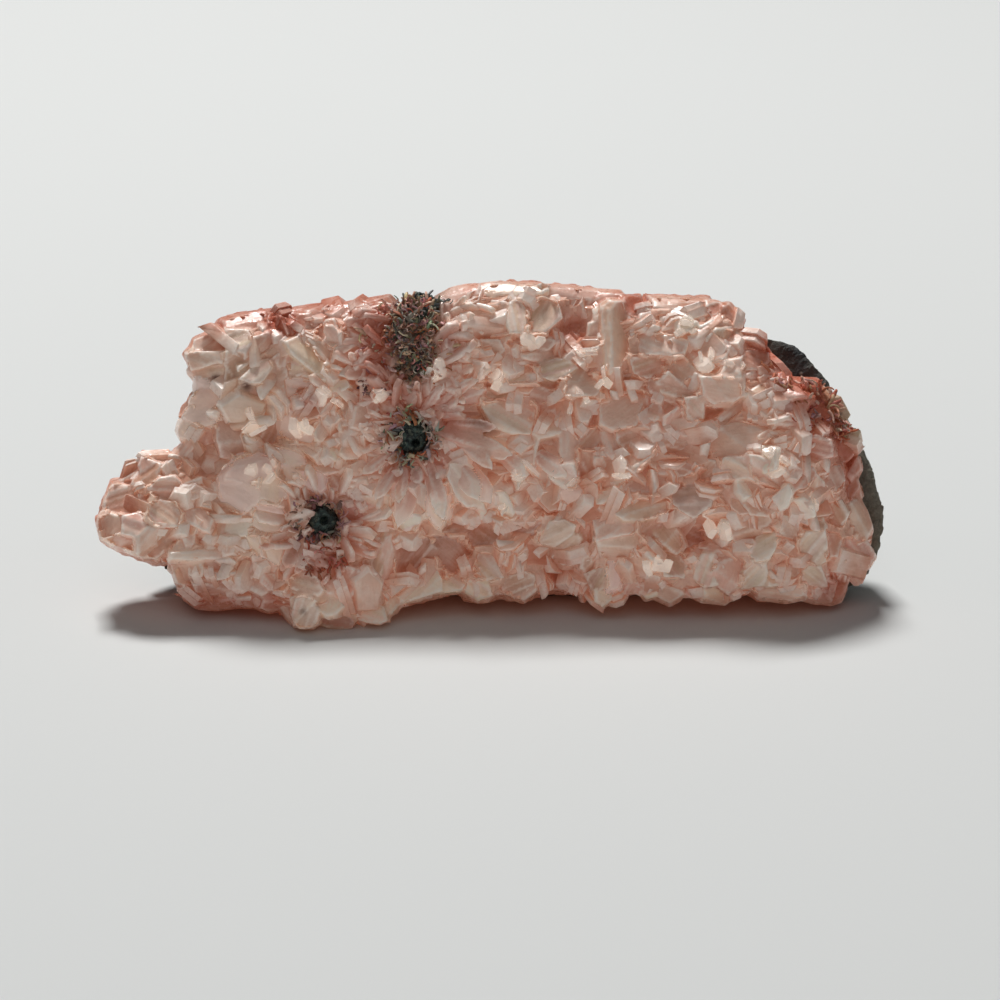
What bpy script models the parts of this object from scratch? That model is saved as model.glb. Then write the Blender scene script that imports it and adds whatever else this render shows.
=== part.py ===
"""Heulandite cluster on basalt, standing on its lower edge.

A crust of tabular heulandite crystals lies on a slab of basalt and holds four celadonite cores.
Everything is modelled in a face frame: X runs to the right, Y up the crystal face and Z out of it.
Each object is then turned and lifted, so that the face leans back and the basalt rests on a flat cut.
"""
import math

import bmesh
import bpy
from mathutils import Matrix, Vector, noise

MM = 0.001

# Driving dimensions
FACE_LEAN = math.radians(20)
FACE_HEIGHT = 23.8 * MM
FACE_DEPTH = -14.4 * MM
CRUST_BACK = -12.0
ROCK_BACK = -34.0
CRUST_TAPER = 0.94
ROCK_TAPER = 0.84
SEAM_GAP = 0.3
SEAM_BEND = 42.0
SEAM_RISE = 0.24
CRYSTAL_DEPTH = 8.5
WALL_SHIFT = 0.31
WALL_FLARE = math.radians(9)
RIM_DROP = 3.2
RIM_REACH = 2.2
GRID_CELL = 3.1
GROUND_SHIFT = 0.7
GROUND_BUMP = 0.9
GROUND_BUMP_DENSITY = 0.9
CRYSTAL_BLOCK = 24.0
WALL_SHIFT_DENSITY = 1.7
NOISE_SEED = 11
CLUSTER_SPAN = 124.0
CLUSTER_RISE = 58.0
STAND_OUT = 12.0
BACK_MARGIN = 4.0
SEAM_REACH = 40.0

# Colours and roughness of the three minerals
HEULANDITE_COLOUR = (0.36, 0.20, 0.145)
HEULANDITE_ROUGHNESS = 0.35
BASALT_COLOUR = (0.045, 0.05, 0.047)
BASALT_ROUGHNESS = 0.85
CELADONITE_COLOUR = (0.05, 0.075, 0.065)
CELADONITE_ROUGHNESS = 0.8

FACE_TURN = math.radians(90) - FACE_LEAN

# Edge of the crust in the face frame, in millimetres, clockwise from the upper left
CRUST_OUTLINE = [
    (-43.0, 18.7), (-42.0, 20.3), (-38.1, 21.6), (-33.6, 22.1), (-24.6, 23.2), (-14.9, 24.4),
    (-7.3, 25.3), (-2.4, 26.1), (0.9, 26.4), (7.6, 25.9), (15.9, 25.1), (24.9, 24.4), (33.9, 23.7),
    (35.6, 23.1), (37.4, 20.9), (40.2, 18.6), (42.3, 14.6), (45.9, 12.5), (48.9, 12.2), (51.1, 9.6),
    (53.4, 7.0), (55.0, 4.3), (55.5, 0.0), (56.0, -5.0), (57.2, -8.2), (57.9, -12.0), (58.0, -14.8),
    (55.6, -17.9), (53.0, -19.8), (51.5, -21.3), (48.0, -20.8), (38.4, -20.0), (34.5, -21.1),
    (29.4, -20.7), (24.4, -20.3), (20.4, -20.0), (15.9, -21.8), (9.9, -19.8), (4.0, -20.9),
    (0.0, -20.2), (-2.1, -20.9), (-5.1, -19.4), (-10.3, -20.7), (-14.8, -22.4), (-15.9, -23.8),
    (-19.2, -25.0), (-24.0, -25.3), (-29.6, -24.8), (-31.9, -22.8), (-37.3, -22.0), (-43.3, -21.9),
    (-47.0, -20.4), (-48.8, -17.0), (-50.1, -15.2), (-55.3, -13.6), (-59.2, -11.2), (-59.6, -8.6),
    (-57.3, -4.0), (-54.6, -2.6), (-53.7, 0.4), (-49.8, -0.4), (-46.8, 3.0), (-47.3, 5.0),
    (-45.2, 8.2), (-44.5, 11.8), (-45.8, 13.6), (-45.9, 15.7), (-44.8, 17.8),
]

# Edge of the basalt slab behind the crust, in millimetres, clockwise from the upper left
ROCK_OUTLINE = [
    (-43.0, 16.5), (-38.0, 19.0), (-20.0, 21.0), (0.0, 23.5), (20.0, 22.5), (33.0, 21.4), (38.8, 20.0),
    (41.3, 19.2), (42.0, 20.2), (43.2, 20.5), (45.5, 18.6), (47.8, 15.9), (50.2, 12.9), (52.0, 9.6),
    (54.8, 6.0), (56.7, 0.8), (58.3, -2.2), (60.0, -5.2), (60.4, -9.0), (60.9, -12.1), (60.1, -15.9),
    (58.6, -18.2), (57.4, -20.5), (56.6, -22.3), (55.4, -22.4), (53.4, -21.4), (46.0, -23.5),
    (20.0, -24.5), (-22.0, -24.5), (-38.0, -22.5), (-49.6, -18.0), (-54.5, -15.3), (-57.1, -14.9),
    (-57.0, -14.0), (-53.5, -9.0), (-50.0, -3.0), (-46.0, 2.0), (-43.5, 9.0),
]

# Flat breaks that shape the back of the basalt: a point and an outward direction
ROCK_BREAKS = [
    ((0, 20, -18.5), (0.02, 0.42, -0.90)),
    ((38, 0, -26), (0.42, 0.12, -0.90)),
    ((-36, 0, -25), (-0.46, 0.08, -0.88)),
    ((8, -14, -33), (0.05, -0.12, -0.99)),
    ((50, -16, -20), (0.75, -0.35, -0.56)),
    ((-50, -12, -18), (-0.72, -0.30, -0.62)),
]

# Swells and hollows of the crust: position, reach and height, in millimetres
SWELLS = [
    (-51.6, -10.5, 6.0, 1.0), (-42.4, -0.2, 3.0, -5.0), (-33.4, 2.0, 2.0, -2.5),
    (-36.6, 15.0, 7.0, 2.0), (-36.0, -4.0, 5.0, 1.8), (-25.0, -21.0, 5.0, 2.5),
    (-9.6, -12.8, 4.0, -2.5), (9.5, -17.5, 3.6, -3.6), (11.8, 20.4, 2.4, -4.0),
    (-1.6, 5.0, 2.2, -4.5), (23.0, -8.0, 7.0, 2.0), (41.0, -1.5, 7.0, 2.5),
    (31.0, -10.5, 3.0, -3.0), (0.0, -10.0, 6.0, -1.5), (34.0, 12.0, 4.0, 0.8),
]
RIGHT_SLOPE_START = 44.0
RIGHT_SLOPE = 0.38
LEFT_SLOPE_START = -52.0
LEFT_SLOPE = 0.30

# The cores in the face frame: node name, centre and half sizes, in millimetres
CORES = [
    ("celadonite_core_top", (-11.2, 22.7), (3.3, 2.5, 4.2)),
    ("celadonite_core_upper", (-12.0, 14.9), (2.4, 2.4, 3.6)),
    ("celadonite_core_middle", (-12.3, 3.4), (2.7, 3.2, 3.8)),
    ("celadonite_core_lower", (-26.0, -9.3), (2.6, 2.9, 3.6)),
]
CORE_LUMPS = 0.12
CORE_LUMP_DENSITY = 2.1
CORE_SINK = 1.6
CORE_SEGMENTS = 12
CORE_RINGS = 7

# Roughness of the broken basalt
ROCK_GRAIN = 4.4 * MM
ROCK_LUMP_SIZE = 11.0 * MM
ROCK_LUMP_HEIGHT = 3.0 * MM

# Clearance under the front lip of the crust, which rises towards the rock
LIP_CLEARANCE = 0.4 * MM
LIP_FRONT = -26.5 * MM
LIP_SLOPE = math.radians(3.3)

# Crystals whose flat fronts shape the face. Each row: how far the front stands out, the way it leans
# in degrees (0 is right, 90 is up), how much it leans, and the edge of the front, in millimetres.
# Pale plates of the upper left ridge
UPPER_LEFT_RIDGE = [
    (1.4, 100, 10, [(-45, 17.9), (-43.2, 18.7), (-40.1, 19.7), (-40.1, 16.2), (-44.9, 16)]),
    (0.6, 95, 22, [(-40.5, 20.9), (-36.2, 21.8), (-34.5, 21.9), (-34.7, 20.2), (-36.5, 19.5),
        (-40.2, 19.8)]),
    (2, 100, 14, [(-40.1, 19.6), (-36.6, 19.4), (-35.6, 18.1), (-37, 16), (-40, 16.1)]),
    (2.2, 170, 10, [(-46.1, 15.8), (-44.9, 16.2), (-40.4, 16.1), (-40.4, 13.9), (-43.2, 13.9),
        (-45.2, 13.4)]),
    (1.9, 60, 14, [(-38.2, 13.9), (-35.2, 14.7), (-33.8, 15.9), (-33, 14), (-34.6, 11.5), (-36.5, 11.3),
        (-38.1, 12.2)]),
    (0.8, 300, 15, [(-38.3, 11.3), (-36.2, 11.1), (-34.6, 10.6), (-34.7, 8.4), (-38.3, 8.4),
        (-38.6, 10)]),
    (1.6, 120, 12, [(-45.3, 9), (-44.4, 10), (-41, 10.2), (-39.2, 9.8), (-38.6, 8.8), (-39.8, 8),
        (-44.7, 8.2)]),
    (1.8, 170, 12, [(-46.8, 6.6), (-45.8, 7.9), (-43.5, 8), (-41.3, 7.5), (-41.6, 5.6), (-43.3, 5.1),
        (-46, 5.9)]),
    (1.5, 60, 8, [(-41.3, 5.6), (-40.2, 6.1), (-37.8, 6.2), (-35.6, 5.4), (-35.8, 3.3), (-36.2, 1.4),
        (-38.4, 0.8), (-40.6, 1.2), (-41.4, 3.6)]),
    (0.2, 330, 12, [(-35.4, 5.3), (-34, 7.3), (-32.4, 7.7), (-31.9, 6), (-32.2, 4), (-33.2, 2.3),
        (-35, 2.2), (-35.7, 3.6)]),
    (1, 80, 12, [(-34.2, 11.2), (-31.4, 11.8), (-31, 9.2), (-32.2, 8.2), (-34.2, 8.8)]),
]
# Blades and smooth blocks of the left lobe
LEFT_LOBE = [
    (1.7, 130, 16, [(-50.2, -1.6), (-47.4, 2.2), (-45.8, 3.2), (-44.6, 4.4), (-43.8, 4.4), (-46.2, 0.8),
        (-49.6, -2.7)]),
    (1.2, 110, 12, [(-54, 0.7), (-52.6, 0.4), (-49.9, -0.4), (-50.3, -2.4), (-52.2, -4), (-54.6, -3.6),
        (-53.5, -1)]),
    (0.9, 300, 12, [(-50, -2.7), (-47.9, -2.4), (-45.9, -4.6), (-46.2, -6), (-50.2, -5.8),
        (-52, -4.3)]),
    (1, 150, 14, [(-57.6, -3.9), (-55.4, -3.8), (-53.4, -4.9), (-53.2, -7.2), (-54, -7.8),
        (-57.5, -7.9), (-58.7, -6.6)]),
    (2, 200, 8, [(-59.6, -9.2), (-57.4, -7.9), (-54.2, -7.8), (-51.2, -9), (-50.3, -10.2), (-50.8, -12),
        (-53.2, -14.1), (-56.5, -12.9), (-59, -11.7)]),
    (1.5, 80, 12, [(-50.2, -6), (-47.6, -6.4), (-46.7, -8.6), (-47.1, -10), (-49.6, -10.1),
        (-51.5, -8.6), (-51.7, -6.7)]),
    (1.1, 240, 14, [(-50.1, -10.3), (-47.3, -10.2), (-47.4, -12.3), (-48.6, -13.2), (-49.4, -15),
        (-52, -14.5), (-50.9, -12)]),
    (1.6, 100, 12, [(-46.1, -7.6), (-43.6, -7.3), (-42.2, -8.6), (-42.4, -10.5), (-43.8, -10.3),
        (-45.8, -9)]),
    (1.8, 90, 16, [(-48, -13.3), (-45.2, -13.1), (-41.8, -13.1), (-38.2, -13), (-38.2, -14.4),
        (-42, -14.8), (-47.9, -14.7)]),
    (0.9, 280, 14, [(-45.2, -17.9), (-42, -18.2), (-38.4, -18.4), (-38.6, -19.9), (-41.8, -20.2),
        (-44.4, -19.6)]),
    (0.5, 250, 22, [(-46.6, -20.6), (-44.4, -19.9), (-41, -20.4), (-38.6, -20.1), (-38.6, -21.6),
        (-42, -22), (-44.8, -21.8)]),
    (0.9, 200, 12, [(-38, -14.8), (-35.6, -14.4), (-35, -16.6), (-36.4, -17.8), (-38.4, -17.4)]),
]
# Clear grey plates between the lobe and the lower core
CLEAR_PLATES = [
    (2.6, 90, 14, [(-39.8, -1.9), (-38, 0.2), (-35, 0.7), (-33, 0.2), (-32.3, -1), (-34.2, -2.6),
        (-37, -3.2), (-39.8, -2.7)]),
    (2.2, 200, 12, [(-40.9, -2.6), (-38.5, -3), (-36, -3.4), (-34.9, -4.6), (-35.5, -6.8),
        (-37.8, -7.9), (-39.8, -6.8), (-40.8, -4.4)]),
    (2, 30, 14, [(-34.6, -3.1), (-32.6, -2.1), (-30.9, -3.6), (-31, -5.6), (-32.4, -6.5),
        (-34.6, -5.9)]),
    (1.8, 300, 10, [(-36.2, -7.7), (-34.4, -6.8), (-31.8, -7.2), (-30.8, -8.8), (-31.6, -10.5),
        (-34, -11.1), (-35.8, -9.9)]),
    (1.8, 240, 14, [(-36.9, -11.5), (-34, -12), (-31.9, -13.6), (-32.4, -15.4), (-34.6, -14.4),
        (-36.7, -13.1)]),
    (1.5, 70, 12, [(-33, 2), (-30.4, 1.5), (-28.4, 0.6), (-28.3, -0.6), (-31, -1.2), (-32.4, 0)]),
    (0.9, 80, 12, [(-25.1, -0.7), (-22.5, -0.7), (-21.7, -3), (-21.9, -5.3), (-24.4, -4.4),
        (-25, -2.4)]),
]
# Leaves and fans along the top left
TOP_FAN = [
    (1.5, 120, 14, [(-26.4, 19.2), (-25.2, 21), (-24, 21.2), (-22.9, 19), (-23.6, 17.7),
        (-25.6, 17.9)]),
    (1.7, 70, 12, [(-22.6, 21), (-20.9, 21.5), (-18.5, 21.4), (-18.2, 19), (-19.6, 16.8), (-21.4, 17.4),
        (-22, 19.4)]),
    (2.6, 50, 20, [(-31, 17.6), (-28.7, 18), (-26.5, 15.4), (-24.6, 12.6), (-25.4, 12), (-27.8, 13.8),
        (-29.8, 15.6)]),
    (1.5, 330, 14, [(-28.5, 18.2), (-26.2, 17.8), (-23.7, 16.4), (-24.2, 13.4), (-25.6, 14.9),
        (-27, 16.7)]),
    (1.4, 280, 14, [(-23.8, 16.8), (-21, 17.2), (-19.2, 16), (-18.5, 14.7), (-21.2, 14.3), (-24, 12.5),
        (-24.4, 14.4)]),
    (1.3, 230, 14, [(-30.2, 14.7), (-28.4, 15), (-26.6, 13.5), (-26, 12.4), (-28.6, 12.1),
        (-31, 12.5)]),
    (1.4, 260, 12, [(-31.2, 12.2), (-28, 11.9), (-25.2, 11.2), (-24.2, 10.2), (-27, 10.7), (-29.8, 9.8),
        (-31, 8.4)]),
    (1.5, 250, 14, [(-32.1, 5.8), (-31.1, 8.4), (-29.9, 7.2), (-27.6, 5.8), (-24.6, 4.4), (-25, 3.2),
        (-29, 2.6), (-31.6, 3.6)]),
    (1.1, 70, 12, [(-22, 9.8), (-20.2, 9.9), (-19.2, 8.4), (-20.4, 6.3), (-22.8, 6.3), (-23, 8.6)]),
    (0.8, 300, 12, [(-21.4, 5.8), (-19.6, 6), (-18.6, 4.4), (-19.6, 2.4), (-21.8, 2.6)]),
]
# Petals round the upper cores
CORE_PETALS = [
    (1, 40, 18, [(-8, 23.7), (-5.8, 23.5), (-4.6, 21.8), (-5.4, 20), (-6.8, 19), (-7.8, 20.6)]),
    (1.7, 80, 12, [(-5, 22.2), (-3, 22.7), (-1.1, 23.4), (-0.8, 20.7), (-3.4, 20.4), (-5.2, 20.4)]),
    (1.9, 80, 16, [(-8.8, 13.2), (-7, 13.2), (-4.2, 13), (-1.4, 13.4), (-1.2, 12.1), (-4, 11.3),
        (-7.6, 10.6), (-9, 11.4)]),
    (1.8, 300, 12, [(-9.4, 9), (-6.6, 10.5), (-4, 10.8), (-1.6, 10.4), (-2.6, 8.6), (-6, 7.4),
        (-9.2, 7.4)]),
]
# Petals and spears spraying from the middle core
MIDDLE_SPRAYS = [
    (1.6, 240, 14, [(-19.8, -5.6), (-17, -4.8), (-15.6, -5.2), (-15.2, -7.4), (-16.6, -8.4),
        (-19, -7.3)]),
    (2.6, 230, 12, [(-15, -8.1), (-12.2, -8), (-10.2, -8.2), (-11.4, -9.9), (-13.6, -11.1),
        (-14.8, -9.8)]),
    (3.4, 330, 14, [(-9.7, -4), (-6.9, -3.9), (-6.4, -5.6), (-6.7, -8.6), (-8, -10.2), (-8.6, -9.9),
        (-9.9, -8), (-9.9, -6)]),
    (3, 20, 16, [(-6.5, -0.7), (-4, -0.4), (-2.4, -1.7), (-1.5, -4.2), (-1.6, -7.2), (-4, -6.9),
        (-5.6, -5.4), (-6.9, -2.6)]),
    (1.9, 260, 14, [(-4, 3.4), (-1, 3.3), (1.4, 3.2), (2.7, 2), (4, 0.3), (2.4, -0.9), (-2, 0.2),
        (-3.8, 0.8)]),
]
# Fracture face, upright blades and stacked plates of the lower middle
LOWER_MIDDLE = [
    (0.6, 300, 10, [(-23, -6.1), (-21, -6.5), (-18.4, -7.3), (-17, -9), (-17.6, -11.1), (-21.6, -11.3),
        (-22.6, -9)]),
    (1.2, 0, 16, [(-16.3, -12), (-15.3, -11.7), (-15, -16), (-15.3, -19), (-17.2, -19.1),
        (-17.2, -17)]),
    (0.9, 280, 12, [(-14.8, -12.5), (-12.4, -11.6), (-9.7, -11.5), (-8.5, -13.4), (-8.8, -15.8),
        (-11.6, -17.3), (-14.4, -17.9)]),
    (0.5, 320, 14, [(-9.2, -11.4), (-6, -11.7), (-3.8, -13.6), (-4, -15.8), (-6, -17), (-8, -15.8)]),
    (2.2, 90, 16, [(-14.6, -18.3), (-12.4, -18), (-8.9, -16.2), (-8.1, -17.6), (-8, -19.6),
        (-11, -20.6), (-14, -21.4)]),
    (1.6, 60, 16, [(-8.4, -16.4), (-7.2, -17.5), (-5.4, -17.3), (-4.1, -18.6), (-5, -19.6),
        (-8, -19.8)]),
    (2, 120, 14, [(-30.8, -18.1), (-28.6, -16.3), (-26.5, -17.4), (-25.1, -19.6), (-26.4, -20.8),
        (-28.4, -20), (-30.4, -20.4)]),
    (3, 260, 16, [(-29.6, -21), (-28.6, -20.2), (-27.4, -20.3), (-26.3, -22), (-26.3, -24),
        (-27.4, -25), (-29.2, -25), (-30, -23.4)]),
    (1, 270, 20, [(-25.9, -23.6), (-23.8, -22.9), (-21.8, -23), (-20.9, -24.4), (-21.3, -25.3),
        (-23.8, -25.5), (-25.8, -24.8)]),
    (2.3, 120, 14, [(-20.7, -22), (-18.6, -21.5), (-16.5, -22), (-15.9, -24), (-17.4, -24.8),
        (-18.8, -24.3), (-20.5, -24)]),
]
# Arched plates, column and tablets of the centre top
CENTRE_TOP = [
    (1.4, 90, 22, [(-2, 25.9), (0.9, 26.4), (3.9, 26.3), (7.6, 25.8), (6.4, 24.3), (3.4, 24.6),
        (1.2, 24.7), (-1.6, 24.9)]),
    (1.3, 80, 22, [(7.9, 25.9), (11, 25.8), (15.4, 25.2), (15.3, 24.1), (11.6, 24.3), (9.4, 24.3),
        (8, 25)]),
    (2.2, 100, 14, [(1.9, 21.8), (2.4, 23.7), (3.1, 24.4), (4, 23.8), (4.8, 22.4), (5, 20.2),
        (4.3, 18.9), (2.5, 18.9), (1.9, 20.2)]),
    (2.4, 100, 14, [(5.4, 22.2), (7.2, 24.1), (9, 24.1), (9.8, 23), (10.2, 21.4), (8.9, 20.2),
        (7.4, 18.9), (5.6, 18.9), (5.2, 20.6)]),
    (1.2, 280, 20, [(-2, 17.9), (0.8, 17.9), (1.6, 16.4), (0.4, 14.9), (-0.6, 14.8), (-2, 16.4)]),
    (1.3, 90, 16, [(2.8, 18.5), (7, 18.5), (9.4, 17.9), (8, 16.6), (3.6, 16.6), (2.4, 17.4)]),
    (2.2, 20, 16, [(16.7, 22.8), (18, 23.6), (19.3, 23.4), (19.8, 20.8), (20, 16.4), (19, 14.2),
        (17.6, 13.2), (16.7, 15)]),
    (1.5, 190, 12, [(13.8, 15), (15, 16.8), (16.4, 17.4), (16.6, 14.6), (16.2, 12.9), (14.4, 13.2)]),
    (2, 90, 16, [(21.8, 18.9), (25.8, 18.7), (29, 17.8), (28.7, 15.8), (26, 15.6), (21.8, 16)]),
    (2.2, 60, 16, [(13.1, 14.6), (14.6, 12.6), (16.1, 11), (15.6, 9.8), (11.8, 9.4), (10.2, 9.8),
        (11.1, 12)]),
    (1.7, 110, 12, [(6.7, 14.7), (9, 15.1), (11.4, 15.2), (12.5, 13.9), (10.6, 12.5), (8.8, 11.9),
        (6.8, 12.4)]),
    (1.6, 60, 16, [(1.9, 13.4), (5.7, 14.3), (6.1, 12), (5.4, 11.5), (2.1, 11.3)]),
    (2.4, 60, 14, [(-1.9, 8.3), (1, 8.8), (5, 8.5), (6.4, 8), (6, 5.8), (5.4, 4), (2.6, 4), (0.2, 4.9),
        (-0.8, 6.2)]),
    (1.8, 60, 10, [(16.1, 8.8), (20, 9.7), (22.2, 9.9), (22.1, 7.8), (21.4, 5.4), (18, 4.6),
        (15.9, 5.6)]),
    (1.2, 30, 12, [(20.4, 15.4), (23.6, 15.3), (26, 14.9), (25, 12.5), (22.4, 12.1), (20.6, 13)]),
    (1.2, 270, 12, [(2, 10.9), (6.8, 10.9), (8.6, 10.1), (8.8, 8.8), (6.8, 8.6), (3, 9.2)]),
    (0.9, 200, 12, [(6.9, 8.2), (8.8, 8.4), (11.4, 8.8), (11.6, 7), (8.6, 6.2), (6.9, 6.2)]),
]
# Arch, white blocks and blades of the centre
CENTRE = [
    (2.2, 20, 14, [(10.2, 5.3), (12, 5), (12.2, 2.6), (12.1, 0), (10.5, -0.7), (9.9, 1.6)]),
    (0.2, 200, 14, [(6.6, 2.8), (9.4, 2.9), (9.7, 0.6), (8.6, -0.6), (6.6, -0.4)]),
    (2.7, 230, 16, [(7.8, -1.6), (9.2, -1), (11.8, -0.5), (12.7, -3.5), (11.8, -4.2), (10, -3.9),
        (8.2, -2.6)]),
    (2.4, 120, 16, [(17.1, -3.1), (18.6, -2.1), (21, 0.5), (23.3, 1.7), (23.8, 1.2), (22.2, -0.7),
        (20.2, -2.5), (18.4, -3.6)]),
    (2.4, 230, 14, [(6.3, -12.4), (8.2, -9.3), (10.6, -8.9), (12.5, -9.7), (11.8, -11.2),
        (9.2, -12.9)]),
    (1.1, 200, 14, [(2.6, -9.6), (4, -8.7), (6, -9), (7.4, -9), (6.1, -11.2), (4.2, -12.6),
        (2.8, -11)]),
    (0.6, 300, 12, [(5.6, -5.2), (8.8, -5.6), (9.2, -7.8), (6.4, -8.4), (5, -7)]),
    (2.6, 210, 18, [(0, -4.8), (1.4, -4.7), (2.4, -6.2), (3.1, -8), (2.8, -8.8), (1, -8),
        (-0.9, -6.4)]),
    (1, 30, 12, [(12.6, 4.4), (15.6, 4.8), (16.2, 3), (15, 1.6), (12.6, 1.4)]),
    (1, 280, 12, [(12.8, 1), (15, 1.2), (16.2, -0.8), (15, -2.6), (12.9, -2.4)]),
    (1, 60, 12, [(18.4, 4.2), (21.4, 5), (22.6, 4), (22, 2), (19.6, 1.2), (18.4, 2.4)]),
    (0.4, 120, 12, [(-4.4, -9.6), (-1.6, -9.4), (1.4, -10.2), (0.6, -12.8), (-3.4, -12.8)]),
    (0.4, 30, 12, [(-8, -10.8), (-5, -8.2), (-2.6, -9.4), (-4.8, -11.2)]),
]
# Pink blocks and teeth of the lower right centre
PINK_BLOCKS = [
    (1.8, 90, 12, [(14.9, -9.1), (17.8, -8.5), (20.6, -8.3), (21, -10.8), (15.3, -12)]),
    (1.9, 80, 14, [(18.4, -8), (20.6, -6.3), (24.2, -5.6), (25.7, -5.9), (25.6, -7.8), (22, -8.9),
        (19.6, -8.9)]),
    (1, 330, 12, [(21.6, -9.2), (24.8, -8.4), (25.4, -10.6), (23.4, -12.4), (21.6, -11.2)]),
    (1.5, 290, 12, [(15.3, -12.2), (18.4, -11.5), (21.3, -11.2), (22.2, -12.8), (19.8, -14.4),
        (16.4, -14.4)]),
    (1.8, 10, 16, [(17, -14.7), (19, -14.8), (19.4, -16.4), (18.6, -19), (17.3, -19.4), (16.9, -17)]),
    (1.6, 250, 14, [(19.6, -15), (22.4, -13.8), (24, -14.6), (24.5, -16.6), (23, -17.8), (21, -17.1),
        (19.8, -16.6)]),
    (1.9, 120, 14, [(-2.4, -13.7), (-0.6, -14), (0.6, -16), (1.5, -17.8), (-0.8, -18.1), (-3, -17.2),
        (-3, -15.6)]),
    (1.9, 240, 18, [(-3.8, -17.9), (-0.9, -18.4), (-0.2, -20.3), (-2.2, -21), (-4.4, -19.7)]),
    (1.8, 270, 14, [(1.9, -17.5), (4.6, -16.7), (6.1, -17.3), (6.5, -19.5), (4.4, -21), (1, -19.6)]),
    (-0.6, 90, 14, [(7, -16.6), (9.8, -16.4), (12.6, -17.6), (12, -19.8), (7.2, -19.4)]),
    (1.1, 90, 12, [(24.2, -8.6), (26.2, -8.2), (27.4, -10.4), (28.2, -12.6), (27.6, -13.4), (25, -12.4),
        (23.8, -10.8)]),
    (0.5, 60, 14, [(25.2, -13.4), (27.4, -13.8), (29.2, -15.6), (28.4, -17.6), (25.4, -17.4)]),
]
# Pale square tablets and salmon rhombs of the upper right
RIGHT_TABLETS = [
    (1, 80, 20, [(24, 24.5), (29, 24.1), (31.6, 24), (31.2, 22.4), (28, 22.3), (24, 22.9)]),
    (1.6, 300, 14, [(31.7, 18.2), (33.8, 19.7), (36.1, 19.3), (36, 17.8), (34.4, 17.2), (33, 16.3),
        (31.9, 17)]),
    (3, 100, 12, [(31.9, 14.4), (34.6, 14.9), (35.5, 16.9), (37, 16.7), (36.7, 12.3), (32, 12.4)]),
    (3.3, 250, 10, [(29.6, 11.4), (30.1, 12.2), (36.5, 12), (36.6, 9.6), (35.6, 8.9), (31.6, 8.4),
        (31.2, 9.9)]),
    (1.3, 30, 16, [(37.1, 16.5), (39.8, 16.5), (41, 16), (41.5, 14.6), (40, 13.5), (37.1, 13.5)]),
    (2.6, 330, 10, [(28.3, 9.3), (31.1, 9.6), (31.4, 8), (31.4, 6), (28.9, 5.7), (28.6, 7.8)]),
    (2, 100, 14, [(26.1, 13.6), (27.9, 15.3), (30, 13.9), (31.7, 12.5), (30, 12.2), (28, 11.9)]),
    (2.1, 250, 12, [(24.3, 11.6), (26, 13.2), (27.6, 11.9), (29.4, 11.3), (29.8, 9.9), (27.8, 9.3),
        (26.8, 8.4), (25.3, 9)]),
    (2.2, 120, 12, [(32.4, 2.6), (34.2, 5.1), (37, 5.6), (40, 4.5), (41.3, 3.6), (39, 1.8), (36.4, 0.4),
        (33, 0.5)]),
    (1.2, 300, 12, [(23.6, 4.8), (26.6, 4), (28.6, 5), (31.2, 5.2), (31.8, 2.4), (28.6, 0.6),
        (24.6, 1.6)]),
]
# Fibrous red-stained fracture at the upper right
RED_FRACTURE = [
    (0.9, 30, 20, [(37.2, 13.2), (41.4, 14), (43.2, 12.7), (41, 11.8), (37.4, 12)]),
    (1.5, 240, 14, [(45.5, 1.9), (48, 3.8), (50.6, 2.9), (50.8, 0.6), (48.6, -0.2), (46.2, 0)]),
    (1.4, 40, 14, [(49.4, -0.9), (52.2, -0.8), (52.8, -3), (51.4, -4.9), (49.8, -3.6)]),
    (1.5, 60, 18, [(42.7, 3.6), (45.4, 2.9), (44.9, 1.3), (46.2, -0.3), (44.2, -0.8), (42.6, 1.2)]),
]
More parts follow.
